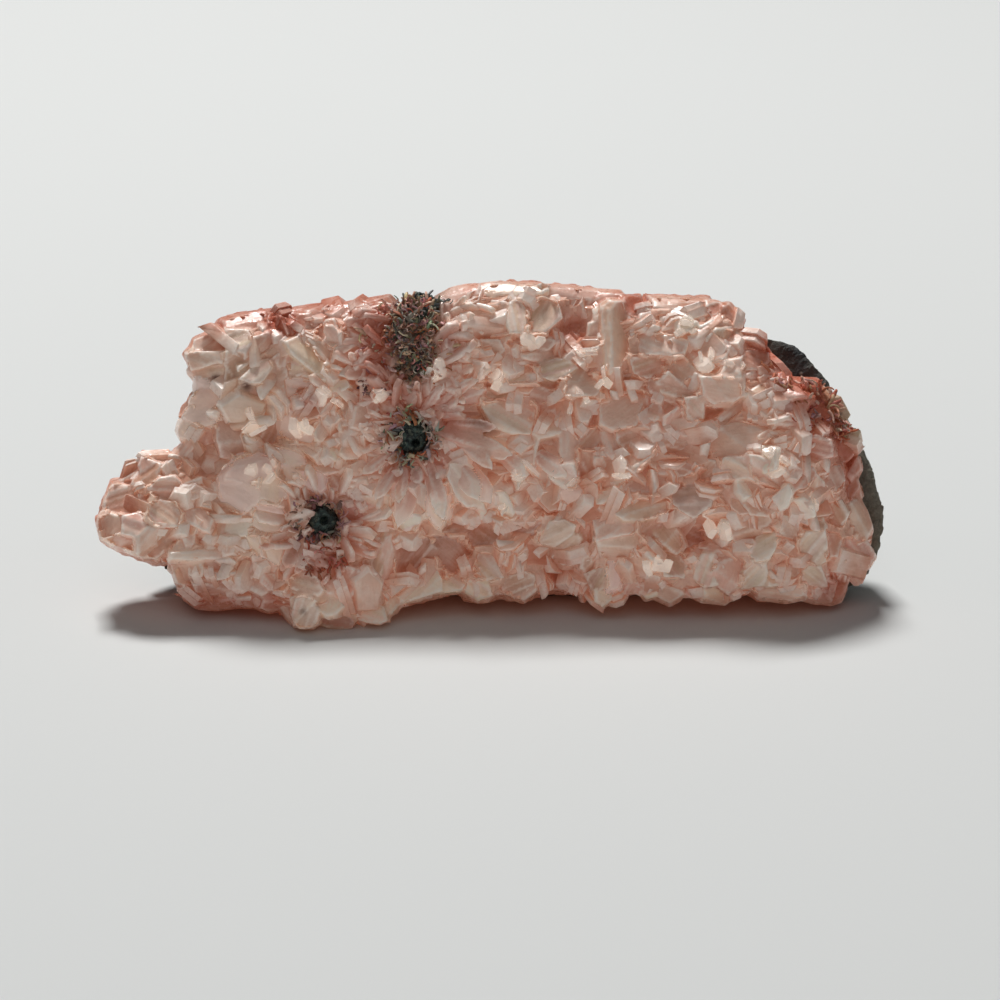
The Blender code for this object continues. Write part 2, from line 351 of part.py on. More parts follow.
# Fan of blades and blocks of the right hump
RIGHT_HUMP = [
    (2.2, 220, 12, [(34.3, 0.3), (37.5, 0.4), (38.1, -2), (39.6, -3.6), (37.4, -2.9), (34.8, -2.7),
        (33.5, -1)]),
    (2.4, 300, 14, [(37.9, 0.6), (39.8, 0.2), (42.5, -1.8), (43.2, -3.5), (41.8, -4.3), (40.2, -3.9),
        (38.5, -2.2)]),
    (1.6, 40, 14, [(44.7, -0.9), (47.8, -0.9), (48.3, -2), (46.6, -4.2), (44.9, -4.6), (44.2, -3)]),
    (2.3, 280, 12, [(45.4, -12.4), (46.7, -10.8), (49.5, -10.4), (49.9, -13), (49.7, -15.2),
        (48.2, -15.7), (46.2, -14.8)]),
    (1.3, 270, 16, [(46.2, -16.1), (49.1, -16.1), (49.9, -18), (50.2, -19.2), (47, -18.8),
        (46.2, -18.2)]),
    (1.2, 200, 14, [(33.5, -3.5), (34.8, -3.7), (35.6, -5.8), (36.8, -6.3), (36, -7.8), (33.7, -7.2)]),
    (1.7, 110, 12, [(25.9, -4.7), (27, -3), (28.4, -4), (30.4, -3.5), (32.8, -4.3), (32.3, -6.8),
        (29.8, -8.6), (27.8, -7.6), (26.5, -6.4)]),
    (1.5, 260, 12, [(35.8, -9.9), (38.8, -8.6), (41, -8.8), (42, -9.5), (40.6, -10.4), (38.6, -12.3),
        (36.5, -12.4), (35.5, -11.5)]),
    (1.5, 330, 12, [(42.8, -8.3), (45.2, -8.8), (45.7, -10.4), (45.1, -12.4), (43.5, -12.8),
        (42.5, -10.8)]),
    (1, 270, 14, [(29, -9.2), (32.6, -7.4), (33.4, -8.6), (33.2, -10.6), (31, -10.4)]),
    (-0.4, 90, 12, [(27.4, -10.2), (29.4, -9.8), (31.6, -11), (31.8, -12.6), (29, -13.2)]),
    (1.2, 100, 12, [(24, 0.2), (27.6, 0), (30.2, 0.4), (30.4, -2), (27.8, -2.6), (24.4, -2)]),
    (1, 60, 12, [(20.4, -2.9), (23, -1), (25.4, -2.6), (25.2, -4.8), (22, -5), (19.4, -4.4)]),
]
# Pale pink groups along the lower right
LOWER_RIGHT = [
    (1.9, 190, 12, [(30.1, -15.8), (31, -14.2), (33.2, -13.8), (32.3, -16.4), (33.4, -18.6),
        (31.4, -19.2), (30, -17.6)]),
    (1.8, 330, 12, [(32.6, -16.8), (34, -15), (37, -14.4), (37.2, -16.4), (36.5, -18.8), (35, -19.7),
        (33.2, -18.5)]),
    (2, 120, 12, [(39.5, -11.5), (41.8, -10.6), (42.9, -11.1), (42.2, -13), (41, -14.7), (38.9, -15.2),
        (37.8, -14)]),
    (2, 250, 14, [(38.3, -15.6), (40.5, -15.3), (41, -16.8), (40.4, -18.8), (37.2, -19.2),
        (37.2, -17)]),
    (1.6, 270, 16, [(39.2, -19.2), (43, -18.8), (46, -19.3), (46.6, -20.3), (44, -20.9),
        (40.4, -20.4)]),
    (1.1, 200, 14, [(50.1, -6.4), (52.1, -5.9), (53.4, -8.2), (52.5, -10.4), (50.5, -9.3)]),
    (1.2, 20, 14, [(53.5, -6.5), (55.4, -6.1), (56, -8), (57, -9.8), (56.4, -11.8), (54.6, -10.9),
        (53.5, -8.6)]),
    (1, 330, 12, [(52.7, -11.5), (56.6, -12.4), (57.8, -14.4), (56.4, -16.6), (53.7, -15.8),
        (52.3, -13.6)]),
    (0.5, 280, 18, [(50.5, -15.2), (52.5, -15.7), (53.9, -17), (53.7, -18.4), (51.2, -19)]),
]

CRYSTAL_GROUPS = [
    UPPER_LEFT_RIDGE, LEFT_LOBE, CLEAR_PLATES, TOP_FAN, CORE_PETALS, MIDDLE_SPRAYS, LOWER_MIDDLE,
    CENTRE_TOP, CENTRE, PINK_BLOCKS, RIGHT_TABLETS, RED_FRACTURE, RIGHT_HUMP, LOWER_RIGHT,
]


def remove_all_objects():
    for item in list(bpy.data.objects):
        bpy.data.objects.remove(item, do_unlink=True)


def new_collection(name):
    collection = bpy.data.collections.new(name)
    bpy.context.scene.collection.children.link(collection)
    return collection


def stone_material(name, colour, roughness):
    material = bpy.data.materials.new(name)
    material.use_nodes = True
    shader = material.node_tree.nodes["Principled BSDF"]
    shader.inputs["Base Color"].default_value = (*colour, 1.0)
    shader.inputs["Roughness"].default_value = roughness
    shader.inputs["Metallic"].default_value = 0.0
    return material


def place_on_face(item):
    """Turn an object from the face frame to how the specimen stands."""
    item.rotation_euler = (FACE_TURN, 0.0, 0.0)
    item.location = (0.0, FACE_DEPTH, FACE_HEIGHT)


def object_from(name, bm, collection, material=None):
    """Make an object of a mesh that was shaped in millimetres in the face frame."""
    bmesh.ops.scale(bm, vec=(MM, MM, MM), verts=bm.verts)
    mesh = bpy.data.meshes.new(name)
    bm.to_mesh(mesh)
    bm.free()
    item = bpy.data.objects.new(name, mesh)
    collection.objects.link(item)
    place_on_face(item)
    if material:
        mesh.materials.append(material)
    else:
        item.hide_render = True
        item.display_type = "WIRE"
    return item


def flat_prism(points, low, high):
    """A flat outline with straight walls from low to high, as a mesh in millimetres."""
    curve = bpy.data.curves.new("outline", "CURVE")
    curve.dimensions = "2D"
    curve.fill_mode = "BOTH"
    curve.extrude = (high - low) / 2
    spline = curve.splines.new("POLY")
    spline.points.add(len(points) - 1)
    for knot, (across, up) in zip(spline.points, points):
        knot.co = (across, up, 0.0, 1.0)
    spline.use_cyclic_u = True
    guide = bpy.data.objects.new("outline", curve)
    bpy.context.scene.collection.objects.link(guide)
    mesh = bpy.data.meshes.new_from_object(guide.evaluated_get(bpy.context.evaluated_depsgraph_get()))
    bpy.data.objects.remove(guide)
    bm = bmesh.new()
    bm.from_mesh(mesh)
    bmesh.ops.remove_doubles(bm, verts=bm.verts, dist=0.0001)
    bmesh.ops.translate(bm, vec=(0, 0, (low + high) / 2), verts=bm.verts)
    bmesh.ops.recalc_face_normals(bm, faces=bm.faces)
    return bm


def draw_in_back(bm, level, share):
    """Make the back end of a prism narrower than its front."""
    for vert in bm.verts:
        if vert.co.z < level:
            vert.co.x *= share
            vert.co.y *= share


def cut_flat(bm, point, direction):
    """Cut away what lies on the outer side of a plane, and close the cut."""
    parts = bm.verts[:] + bm.edges[:] + bm.faces[:]
    cut = bmesh.ops.bisect_plane(bm, geom=parts, plane_co=point, plane_no=direction, clear_outer=True)
    edges = [part for part in cut["geom_cut"] if isinstance(part, bmesh.types.BMEdge)]
    if edges:
        bmesh.ops.edgeloop_fill(bm, edges=edges)


def rim_distance(across, up):
    """Distance from a point of the face to the edge of the crust."""
    spot = Vector((across, up))
    nearest = CLUSTER_SPAN
    for start, end in zip(CRUST_OUTLINE, CRUST_OUTLINE[1:] + CRUST_OUTLINE[:1]):
        start, end = Vector(start), Vector(end)
        along = end - start
        share = max(0.0, min(1.0, (spot - start).dot(along) / along.length_squared))
        nearest = min(nearest, (spot - start - along * share).length)
    return nearest


def crust_height(across, up):
    """How far the crust stands out at a point of the face, without its crystals."""
    height = -RIM_DROP * math.exp(-rim_distance(across, up) / RIM_REACH)
    for swell_across, swell_up, reach, rise in SWELLS:
        squared = (across - swell_across) ** 2 + (up - swell_up) ** 2
        height += rise * math.exp(-squared / (2 * reach * reach))
    height -= RIGHT_SLOPE * max(0.0, across - RIGHT_SLOPE_START)
    height -= LEFT_SLOPE * max(0.0, LEFT_SLOPE_START - across)
    return height


def crust_ground(collection):
    """The uneven mass under the crystals: a grid lifted to the crust's height and given a back."""
    bm = bmesh.new()
    columns = round(CLUSTER_SPAN / GRID_CELL)
    rows = round(CLUSTER_RISE / GRID_CELL)
    bmesh.ops.create_grid(bm, x_segments=columns, y_segments=rows, size=0.5)
    bmesh.ops.scale(bm, vec=(CLUSTER_SPAN, CLUSTER_RISE, 1), verts=bm.verts)
    walls = bmesh.ops.extrude_face_region(bm, geom=bm.faces[:], use_keep_orig=True)
    back = {part for part in walls["geom"] if isinstance(part, bmesh.types.BMVert)}
    for vert in bm.verts:
        if vert in back:
            vert.co.z = ROCK_BACK
        else:
            wobble = noise.noise_vector(vert.co * GROUND_BUMP_DENSITY)
            vert.co.x += wobble.x * GROUND_SHIFT
            vert.co.y += wobble.y * GROUND_SHIFT
            vert.co.z = crust_height(vert.co.x, vert.co.y) + wobble.z * GROUND_BUMP
    bm.normal_update()
    bmesh.ops.recalc_face_normals(bm, faces=bm.faces)
    bmesh.ops.triangulate(bm, faces=bm.faces)
    return object_from("crust_ground", bm, collection)


def crystal(row):
    """One crystal: a block cut by the plane of its front and by a flaring plane at each edge."""
    rise, leans_to, lean, edge = row
    middle = sum((Vector((x, y, 0)) for x, y in edge), Vector()) / len(edge)
    middle.z = crust_height(middle.x, middle.y) + rise
    turn = math.radians(leans_to)
    tilt = math.radians(lean)
    front = Vector((math.cos(turn) * math.sin(tilt), math.sin(turn) * math.sin(tilt), math.cos(tilt)))
    bm = bmesh.new()
    block = Matrix.Translation(middle - Vector((0, 0, CRYSTAL_DEPTH / 2))) @ Matrix.Diagonal(
        (CRYSTAL_BLOCK, CRYSTAL_BLOCK, CRYSTAL_DEPTH * 2, 1))
    bmesh.ops.create_cube(bm, size=1, matrix=block)
    cut_flat(bm, middle, front)
    cut_flat(bm, middle - Vector((0, 0, CRYSTAL_DEPTH)), Vector((0, 0, -1)))
    corners = [Vector((x, y, 0)) for x, y in edge]
    for corner, following in zip(corners, corners[1:] + corners[:1]):
        centre = (corner + following) / 2
        outward = (following - corner).cross(Vector((0, 0, 1))).normalized()
        if outward.dot(centre - Vector((middle.x, middle.y, 0))) < 0:
            outward = -outward
        offset = centre - Vector((middle.x, middle.y, 0))
        centre.z = middle.z - offset.dot(front) / front.z
        centre += outward * noise.noise(centre * WALL_SHIFT_DENSITY) * WALL_SHIFT
        wall = outward * math.cos(WALL_FLARE) + Vector((0, 0, math.sin(WALL_FLARE)))
        cut_flat(bm, centre, wall)
    return bm


def joined_crystals(name, rows, collection):
    """Crystals of one group, for joining with the crust."""
    joined = bmesh.new()
    for row in rows:
        single = crystal(row)
        mesh = bpy.data.meshes.new("crystal")
        single.to_mesh(mesh)
        single.free()
        joined.from_mesh(mesh)
        bpy.data.meshes.remove(mesh)
    return object_from(name, joined, collection)


def add_boolean(item, operation, other, uses_self=False):
    modifier = item.modifiers.new(operation.lower(), "BOOLEAN")
    modifier.operation = operation
    modifier.solver = "EXACT"
    modifier.use_self = uses_self
    modifier.object = other


def seam_cutter(name, offset, far, collection):
    """The space on one side of the seam between crust and rock, which bends up at the right."""
    end = CLUSTER_SPAN
    seam = [(-end, offset), (SEAM_BEND, offset), (end, offset + SEAM_RISE * (end - SEAM_BEND))]
    profile = seam + [(end, far), (-end, far)]
    bm = flat_prism(profile, -CLUSTER_RISE, CLUSTER_RISE)
    for vert in bm.verts:
        vert.co = (vert.co.x, vert.co.z, vert.co.y)
    bm.normal_update()
    bmesh.ops.recalc_face_normals(bm, faces=bm.faces)
    return object_from(name, bm, collection)


def floor_cutter(name, height, hinge, slope, collection):
    """The space below a floor plane that starts at a height and rises towards the back."""
    bm = bmesh.new()
    bmesh.ops.create_cube(bm, size=CLUSTER_SPAN * 2 * MM)
    bmesh.ops.translate(bm, vec=(0, 0, -CLUSTER_SPAN * MM), verts=bm.verts)
    mesh = bpy.data.meshes.new(name)
    bm.to_mesh(mesh)
    bm.free()
    item = bpy.data.objects.new(name, mesh)
    collection.objects.link(item)
    item.location = (0.0, hinge, height)
    item.rotation_euler = (slope, 0.0, 0.0)
    item.hide_render = True
    item.display_type = "WIRE"
    return item


def roughen(item):
    """Break the smooth faces of the rock into uneven lumps."""
    remesh = item.modifiers.new("grain", "REMESH")
    remesh.mode = "VOXEL"
    remesh.voxel_size = ROCK_GRAIN
    clouds = bpy.data.textures.new("rock lumps", "CLOUDS")
    clouds.noise_scale = ROCK_LUMP_SIZE
    lumps = item.modifiers.new("lumps", "DISPLACE")
    lumps.texture = clouds
    lumps.texture_coords = "LOCAL"
    lumps.strength = ROCK_LUMP_HEIGHT


def core_shape(centre, half_sizes, swell):
    """A lumpy egg for one core, grown by swell all round."""
    across, up = centre
    bm = bmesh.new()
    bmesh.ops.create_uvsphere(bm, u_segments=CORE_SEGMENTS, v_segments=CORE_RINGS, radius=1.0)
    for vert in bm.verts:
        spot = vert.co * CORE_LUMP_DENSITY + Vector((across, up, 0))
        lump = 1 + CORE_LUMPS * noise.noise(spot)
        vert.co = Vector([vert.co[i] * (half_sizes[i] * lump + swell) for i in range(3)])
        vert.co += Vector((across, up, crust_height(across, up) - CORE_SINK))
    bmesh.ops.triangulate(bm, faces=bm.faces)
    return bm


def build_cores(collection, cutters):
    celadonite = stone_material("celadonite", CELADONITE_COLOUR, CELADONITE_ROUGHNESS)
    sockets = []
    for name, centre, half_sizes in CORES:
        object_from(name, core_shape(centre, half_sizes, 0.0), collection, celadonite)
        sockets.append(object_from(name + "_socket", core_shape(centre, half_sizes, SEAM_GAP), cutters))
    return sockets


def build_crust(collection, cutters, sockets):
    heulandite = stone_material("heulandite", HEULANDITE_COLOUR, HEULANDITE_ROUGHNESS)
    bm = flat_prism(CRUST_OUTLINE, CRUST_BACK - BACK_MARGIN, STAND_OUT)
    draw_in_back(bm, 0.0, CRUST_TAPER)
    crust = object_from("heulandite_crust", bm, collection, heulandite)
    add_boolean(crust, "INTERSECT", crust_ground(cutters))
    rows = [row for group in CRYSTAL_GROUPS for row in group]
    add_boolean(crust, "UNION", joined_crystals("crystals", rows, cutters), uses_self=True)
    add_boolean(crust, "DIFFERENCE", seam_cutter("rock_side", CRUST_BACK, ROCK_BACK * 2, cutters))
    for socket in sockets:
        add_boolean(crust, "DIFFERENCE", socket)
    underside = floor_cutter("underside", LIP_CLEARANCE, LIP_FRONT, LIP_SLOPE, cutters)
    add_boolean(crust, "DIFFERENCE", underside)


def build_rock(collection, cutters):
    basalt = stone_material("basalt", BASALT_COLOUR, BASALT_ROUGHNESS)
    bm = flat_prism(ROCK_OUTLINE, ROCK_BACK, 0.0)
    parts = bm.verts[:] + bm.edges[:] + bm.faces[:]
    bmesh.ops.bisect_plane(bm, geom=parts, plane_co=(0, 0, CRUST_BACK), plane_no=(0, 0, 1))
    draw_in_back(bm, CRUST_BACK - SEAM_GAP, ROCK_TAPER)
    for point, direction in ROCK_BREAKS:
        cut_flat(bm, Vector(point), Vector(direction).normalized())
    rock = object_from("basalt_matrix", bm, collection, basalt)
    roughen(rock)
    crust_side = seam_cutter("crust_side", CRUST_BACK - SEAM_GAP, SEAM_REACH, cutters)
    add_boolean(rock, "DIFFERENCE", crust_side)
    add_boolean(rock, "DIFFERENCE", floor_cutter("resting_plane", 0.0, 0.0, 0.0, cutters))


def main():
    remove_all_objects()
    noise.seed_set(NOISE_SEED)
    parts = new_collection("heulandite_cluster")
    cutters = new_collection("cutters")
    sockets = build_cores(parts, cutters)
    build_crust(parts, cutters, sockets)
    build_rock(parts, cutters)


main()
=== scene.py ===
"""Heulandite cluster on basalt: the looks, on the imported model.

The face frame is the one that the solids were shaped in: X to the right, Y up the crystal face and Z out
of it, in millimetres. A piece is modelled there and then turned and lifted to how the specimen stands.
"""
import functools
import itertools
import math
import random

import bmesh
import bpy
from mathutils import Matrix, Vector, kdtree, noise
from mathutils.bvhtree import BVHTree


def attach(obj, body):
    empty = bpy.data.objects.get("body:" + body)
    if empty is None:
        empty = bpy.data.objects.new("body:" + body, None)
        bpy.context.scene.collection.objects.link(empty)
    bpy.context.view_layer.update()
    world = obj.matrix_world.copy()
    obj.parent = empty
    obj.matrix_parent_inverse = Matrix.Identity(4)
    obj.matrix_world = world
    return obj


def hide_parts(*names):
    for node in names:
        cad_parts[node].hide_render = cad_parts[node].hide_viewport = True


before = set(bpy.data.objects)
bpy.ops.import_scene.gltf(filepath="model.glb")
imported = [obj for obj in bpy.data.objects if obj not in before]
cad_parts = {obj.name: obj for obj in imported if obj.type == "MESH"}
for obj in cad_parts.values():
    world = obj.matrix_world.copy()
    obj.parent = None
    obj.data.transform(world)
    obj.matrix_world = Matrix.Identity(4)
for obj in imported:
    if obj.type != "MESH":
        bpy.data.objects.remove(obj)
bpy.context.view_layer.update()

# Basalt matrix
# The broken piece of dark grey-green lava that the crystals grew on. It is fine-grained, with pits and
# small pale specks, and it was split off by hand, so its faces are rough. The crust is grown onto it.

MM = 0.001
FACE_TURN = math.radians(70)
FACE_HEIGHT = 23.8 * MM
FACE_DEPTH = -14.4 * MM
face_place = Matrix.Translation((0, FACE_DEPTH, FACE_HEIGHT)) @ Matrix.Rotation(FACE_TURN, 4, "X")
to_face = (face_place @ Matrix.Scale(MM, 4)).inverted()
from_face = to_face.inverted()
BASALT_GRAIN = 0.6
# Lump sizes of the broken surface, and how far they move it in and out
BASALT_LUMPS = [(7.0, 1.6), (2.2, 0.8), (0.9, 0.35)]
# Where the rock turns brown-grey at the right, in metres
RIGHT_END = (0.049, 0.056)


class Value:
    """A socket of a shader tree. Arithmetic on it adds Math nodes."""

    def __init__(self, finish, socket):
        self.finish = finish
        self.socket = socket

    def maths(self, operation, first, second):
        return self.finish.node("ShaderNodeMath", {"operation": operation}, {0: first, 1: second})

    def __add__(self, other):
        return self.maths("ADD", self, other)

    def __sub__(self, other):
        return self.maths("SUBTRACT", self, other)

    def __rsub__(self, other):
        return self.maths("SUBTRACT", other, self)

    def __mul__(self, other):
        return self.maths("MULTIPLY", self, other)

    __radd__ = __add__
    __rmul__ = __mul__


class Finish:
    """A material, with its node tree and its Principled shader."""

    def __init__(self, name):
        self.material = bpy.data.materials.new(name)
        self.material.use_nodes = True
        self.tree = self.material.node_tree
        self.shader = self.tree.nodes["Principled BSDF"]

    def plug(self, node, sockets):
        for name, value in sockets.items():
            if isinstance(value, Value):
                self.tree.links.new(value.socket, node.inputs[name])
            else:
                node.inputs[name].default_value = value

    def node(self, kind, settings, sockets, output=0):
        made = self.tree.nodes.new(kind)
        for name, value in settings.items():
            if name == "stops":
                low, high = made.color_ramp.elements
                low.position, high.position = value
            else:
                setattr(made, name, value)
        self.plug(made, sockets)
        return Value(self, made.outputs[output])

    def place(self):
        return self.node("ShaderNodeTexCoord", {}, {}, "Object")

    def noise(self, place, per_mm, detail=3.0, roughness=0.55):
        sockets = {"Vector": place, "Scale": per_mm / MM, "Detail": detail, "Roughness": roughness}
        return self.node("ShaderNodeTexNoise", {}, sockets, "Fac")

    def cells(self, place, per_mm):
        return self.node("ShaderNodeTexVoronoi", {}, {"Vector": place, "Scale": per_mm / MM}, "Distance")

    def step(self, value, low, high):
        """A mask that goes from 0 to 1 as a value goes from low to high."""
        return self.node("ShaderNodeValToRGB", {"stops": (low, high)}, {"Fac": value})

    def blend(self, share, first, second):
        return self.node("ShaderNodeMix", {"data_type": "RGBA"}, {0: share, 6: first, 7: second}, 2)

    def scaled(self, colour, value):
        return self.node("ShaderNodeVectorMath", {"operation": "SCALE"}, {0: colour, "Scale": value})

    def bump(self, height, depth, strength=1.0):
        sockets = {"Height": height, "Distance": depth, "Strength": strength}
        return self.node("ShaderNodeBump", {}, sockets)

    def done(self, sockets):
        self.plug(self.shader, sockets)
        return self.material


def basalt_finish():
    """Blue-black to brown-grey rock with pale specks, matt."""
    black, brown, end = (0.045, 0.050, 0.054, 1), (0.10, 0.092, 0.075, 1), (0.24, 0.225, 0.18, 1)
    finish = Finish("basalt")
    place = finish.place()
    patches = finish.step(finish.noise(place, 0.09), 0.42, 0.62)
    grain = finish.noise(place, 1.6, 5.0, 0.7)
    colour = finish.blend(patches, black, brown)
    right_end = finish.step(finish.node("ShaderNodeSeparateXYZ", {}, {0: place}), *RIGHT_END)
    colour = finish.blend(right_end, colour, end)
    colour = finish.scaled(colour, grain * 1.7 + 0.2)
    specks = 1 - finish.step(finish.cells(place, 0.55), 0.08, 0.2)
    specks = specks * finish.step(finish.noise(place, 0.3), 0.52, 0.6)
    colour = finish.blend(specks * 0.75, colour, (0.36, 0.36, 0.31, 1))
    pits = finish.noise(place, 0.5, 6.0, 0.7)
    return finish.done({
        "Base Color": colour, "Roughness": grain * 0.35 + 0.6,
        "Normal": finish.bump(pits, 1.1 * MM), "Specular IOR Level": 0.4,
    })


def select_only(item):
    bpy.ops.object.select_all(action="DESELECT")
    item.select_set(True)
    bpy.context.view_layer.objects.active = item


def copy_of_solid(node, name):
    """A new object with a merged copy of a solid's mesh."""
    copy = bpy.data.objects.new(name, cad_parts[node].data.copy())
    copy.data.materials.clear()
    bpy.context.scene.collection.objects.link(copy)
    select_only(copy)
    bpy.ops.object.mode_set(mode="EDIT")
    bpy.ops.mesh.select_all(action="SELECT")
    bpy.ops.mesh.remove_doubles(threshold=0.01 * MM)
    bpy.ops.object.mode_set(mode="OBJECT")
    return copy


def apply_modifier(item, name, kind, **settings):
    modifier = item.modifiers.new(name, kind)
    for setting, value in settings.items():
        setattr(modifier, setting, value)
    bpy.ops.object.modifier_apply(modifier=name)


def even_grain(item, size):
    apply_modifier(item, "grain", "REMESH", mode="VOXEL", voxel_size=size)


def roughen(item, lumps):
    """Move the surface in and out by noise patterns, each with a lump size and a height in millimetres."""
    for size, height in lumps:
        clouds = bpy.data.textures.new("lumps", "CLOUDS")
        clouds.noise_scale = size * MM
        apply_modifier(
            item, "lumps", "DISPLACE", texture=clouds, texture_coords="LOCAL", strength=height * MM)


def keep_above_floor(piece):
    for vert in piece.data.vertices:
        vert.co.z = max(vert.co.z, 0.0)


def finish_piece(piece, material, slot, *nodes):
    """Give a piece its material, hang it from the root body and hide the solids that it stands for."""
    if material:
        piece.data.materials.clear()
        piece.data.materials.append(material)
    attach(piece, "root")
    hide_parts(*nodes)


basalt = copy_of_solid("basalt_matrix", "basalt_rock")
even_grain(basalt, BASALT_GRAIN * MM)
roughen(basalt, BASALT_LUMPS)
keep_above_floor(basalt)
finish_piece(basalt, basalt_finish(), "basalt", "basalt_matrix")

# Listed crystals
# The large tabular, blocky and leaf-shaped crystals that can be told apart on the face. Each is clear to
# milky heulandite with flat faces and pale edges, and it grew out of the crust, with its root in it.


def corners_of(steps):
    """The corners of an outline on the face, from the place of the first one and the step from each to
    the next. Places and steps are how far across and how far up, in tenths of a millimetre."""
    across, up = itertools.accumulate(steps[::2]), itertools.accumulate(steps[1::2])
    return [(x / 10, y / 10) for x, y in zip(across, up)]


CRUST_OUTLINE = corners_of([
    -430, 187, 10, 16, 39, 13, 45, 5, 90, 11, 97, 12, 76, 9, 49, 8, 33, 3, 67, -5, 83, -8, 90, -7, 90, -7,
    17, -6, 18, -22, 28, -23, 21, -40, 36, -21, 30, -3, 22, -26, 23, -26, 16, -27, 5, -43, 5, -50, 12, -32,
    7, -38, 1, -28, -24, -31, -26, -19, -15, -15, -35, 5, -96, 8, -39, -11, -51, 4, -50, 4, -40, 3, -45,
    -18, -60, 20, -59, -11, -40, 7, -21, -7, -30, 15, -52, -13, -45, -17, -11, -14, -33, -12, -48, -3, -56,
    5, -23, 20, -54, 8, -60, 1, -37, 15, -18, 34, -13, 18, -52, 16, -39, 24, -4, 26, 23, 46, 27, 14, 9, 30,
    39, -8, 30, 34, -5, 20, 21, 32, 7, 36, -13, 18, -1, 21, 11, 21,
])
RIM_DROP = 3.2
RIM_REACH = 2.2
# Humps and hollows of the crust: place, reach, and how far they stand out or go in
SWELLS = [
    (-51.6, -10.5, 6.0, 1.0), (-42.4, -0.2, 3.0, -5.0), (-33.4, 2.0, 2.0, -2.5),
    (-36.6, 15.0, 7.0, 2.0), (-36.0, -4.0, 5.0, 1.8), (-25.0, -21.0, 5.0, 2.5),
    (-9.6, -12.8, 4.0, -2.5), (9.5, -17.5, 3.6, -3.6), (11.8, 20.4, 2.4, -4.0),
    (-1.6, 5.0, 2.2, -4.5), (23.0, -8.0, 7.0, 2.0), (41.0, -1.5, 7.0, 2.5),
    (31.0, -10.5, 3.0, -3.0), (0.0, -10.0, 6.0, -1.5), (34.0, 12.0, 4.0, 0.8),
]
RIGHT_SLOPE_START = 44.0
RIGHT_SLOPE = 0.38
LEFT_SLOPE_START = -52.0
LEFT_SLOPE = 0.30

# Tones of the crystals. Brown, mauve and brick are in part the painted shade of sunken crystals, and white
# is in part a painted glint.
TONES = {
    "rose": (0.68, 0.36, 0.28), "beige": (0.67, 0.53, 0.42), "salmon": (0.68, 0.40, 0.30),
    "tan": (0.60, 0.42, 0.32), "pale": (0.75, 0.54, 0.44), "clear": (0.84, 0.79, 0.73),
    "brown": (0.40, 0.185, 0.12), "cream": (0.78, 0.60, 0.47), "white": (0.86, 0.77, 0.70),
    "mauve": (0.42, 0.24, 0.20), "rust": (0.52, 0.17, 0.09), "brick": (0.45, 0.12, 0.07),
}
# Painted shade: the darker, deeper salmon of the hollows near the crust and between the crystals
HOLLOW_SHADE = (0.59, 0.305, 0.225)
# Pale tips of the crystals, and a painted highlight on the parts that stand out most
TIP_AND_HIGHLIGHT = (0.87, 0.75, 0.67)
ROOT = (0.42, 0.115, 0.07)
# Painted shade, near black, for holes, pits and cracks
HOLE_SHADE = (0.07, 0.03, 0.025)
GREEN = (0.10, 0.12, 0.10)
YELLOW = (0.33, 0.30, 0.16)
# Painted shade for narrow cracks and a small pocket
CREVICE_SHADE = (0.10, 0.05, 0.04)
WARM = (0.65, 0.35, 0.25)
GREY = (0.62, 0.52, 0.42)
GLOW = (1.0, 0.74, 0.56)

# How far above or below the crust each colour starts and is full, and how strong it is then
TIP_AND_HIGHLIGHT_HEIGHTS, TIP_AND_HIGHLIGHT_SHARE = (0.9, 3.2), 0.5
HOLLOW_SHADE_DEPTHS, HOLLOW_SHADE_SHARE = (-1.8, 0.4), 0.85
ROOT_DEPTHS, ROOT_SHARE = (0.5, 7.0), 0.6
# The painted shade of holes, pits and cracks fades out between these heights, so it lies only in hollows
HOLE_SHADE_HEIGHTS = (0.2, 1.6)
USUAL_HEIGHT = 1.4
SPOT_LIMIT = 6.0
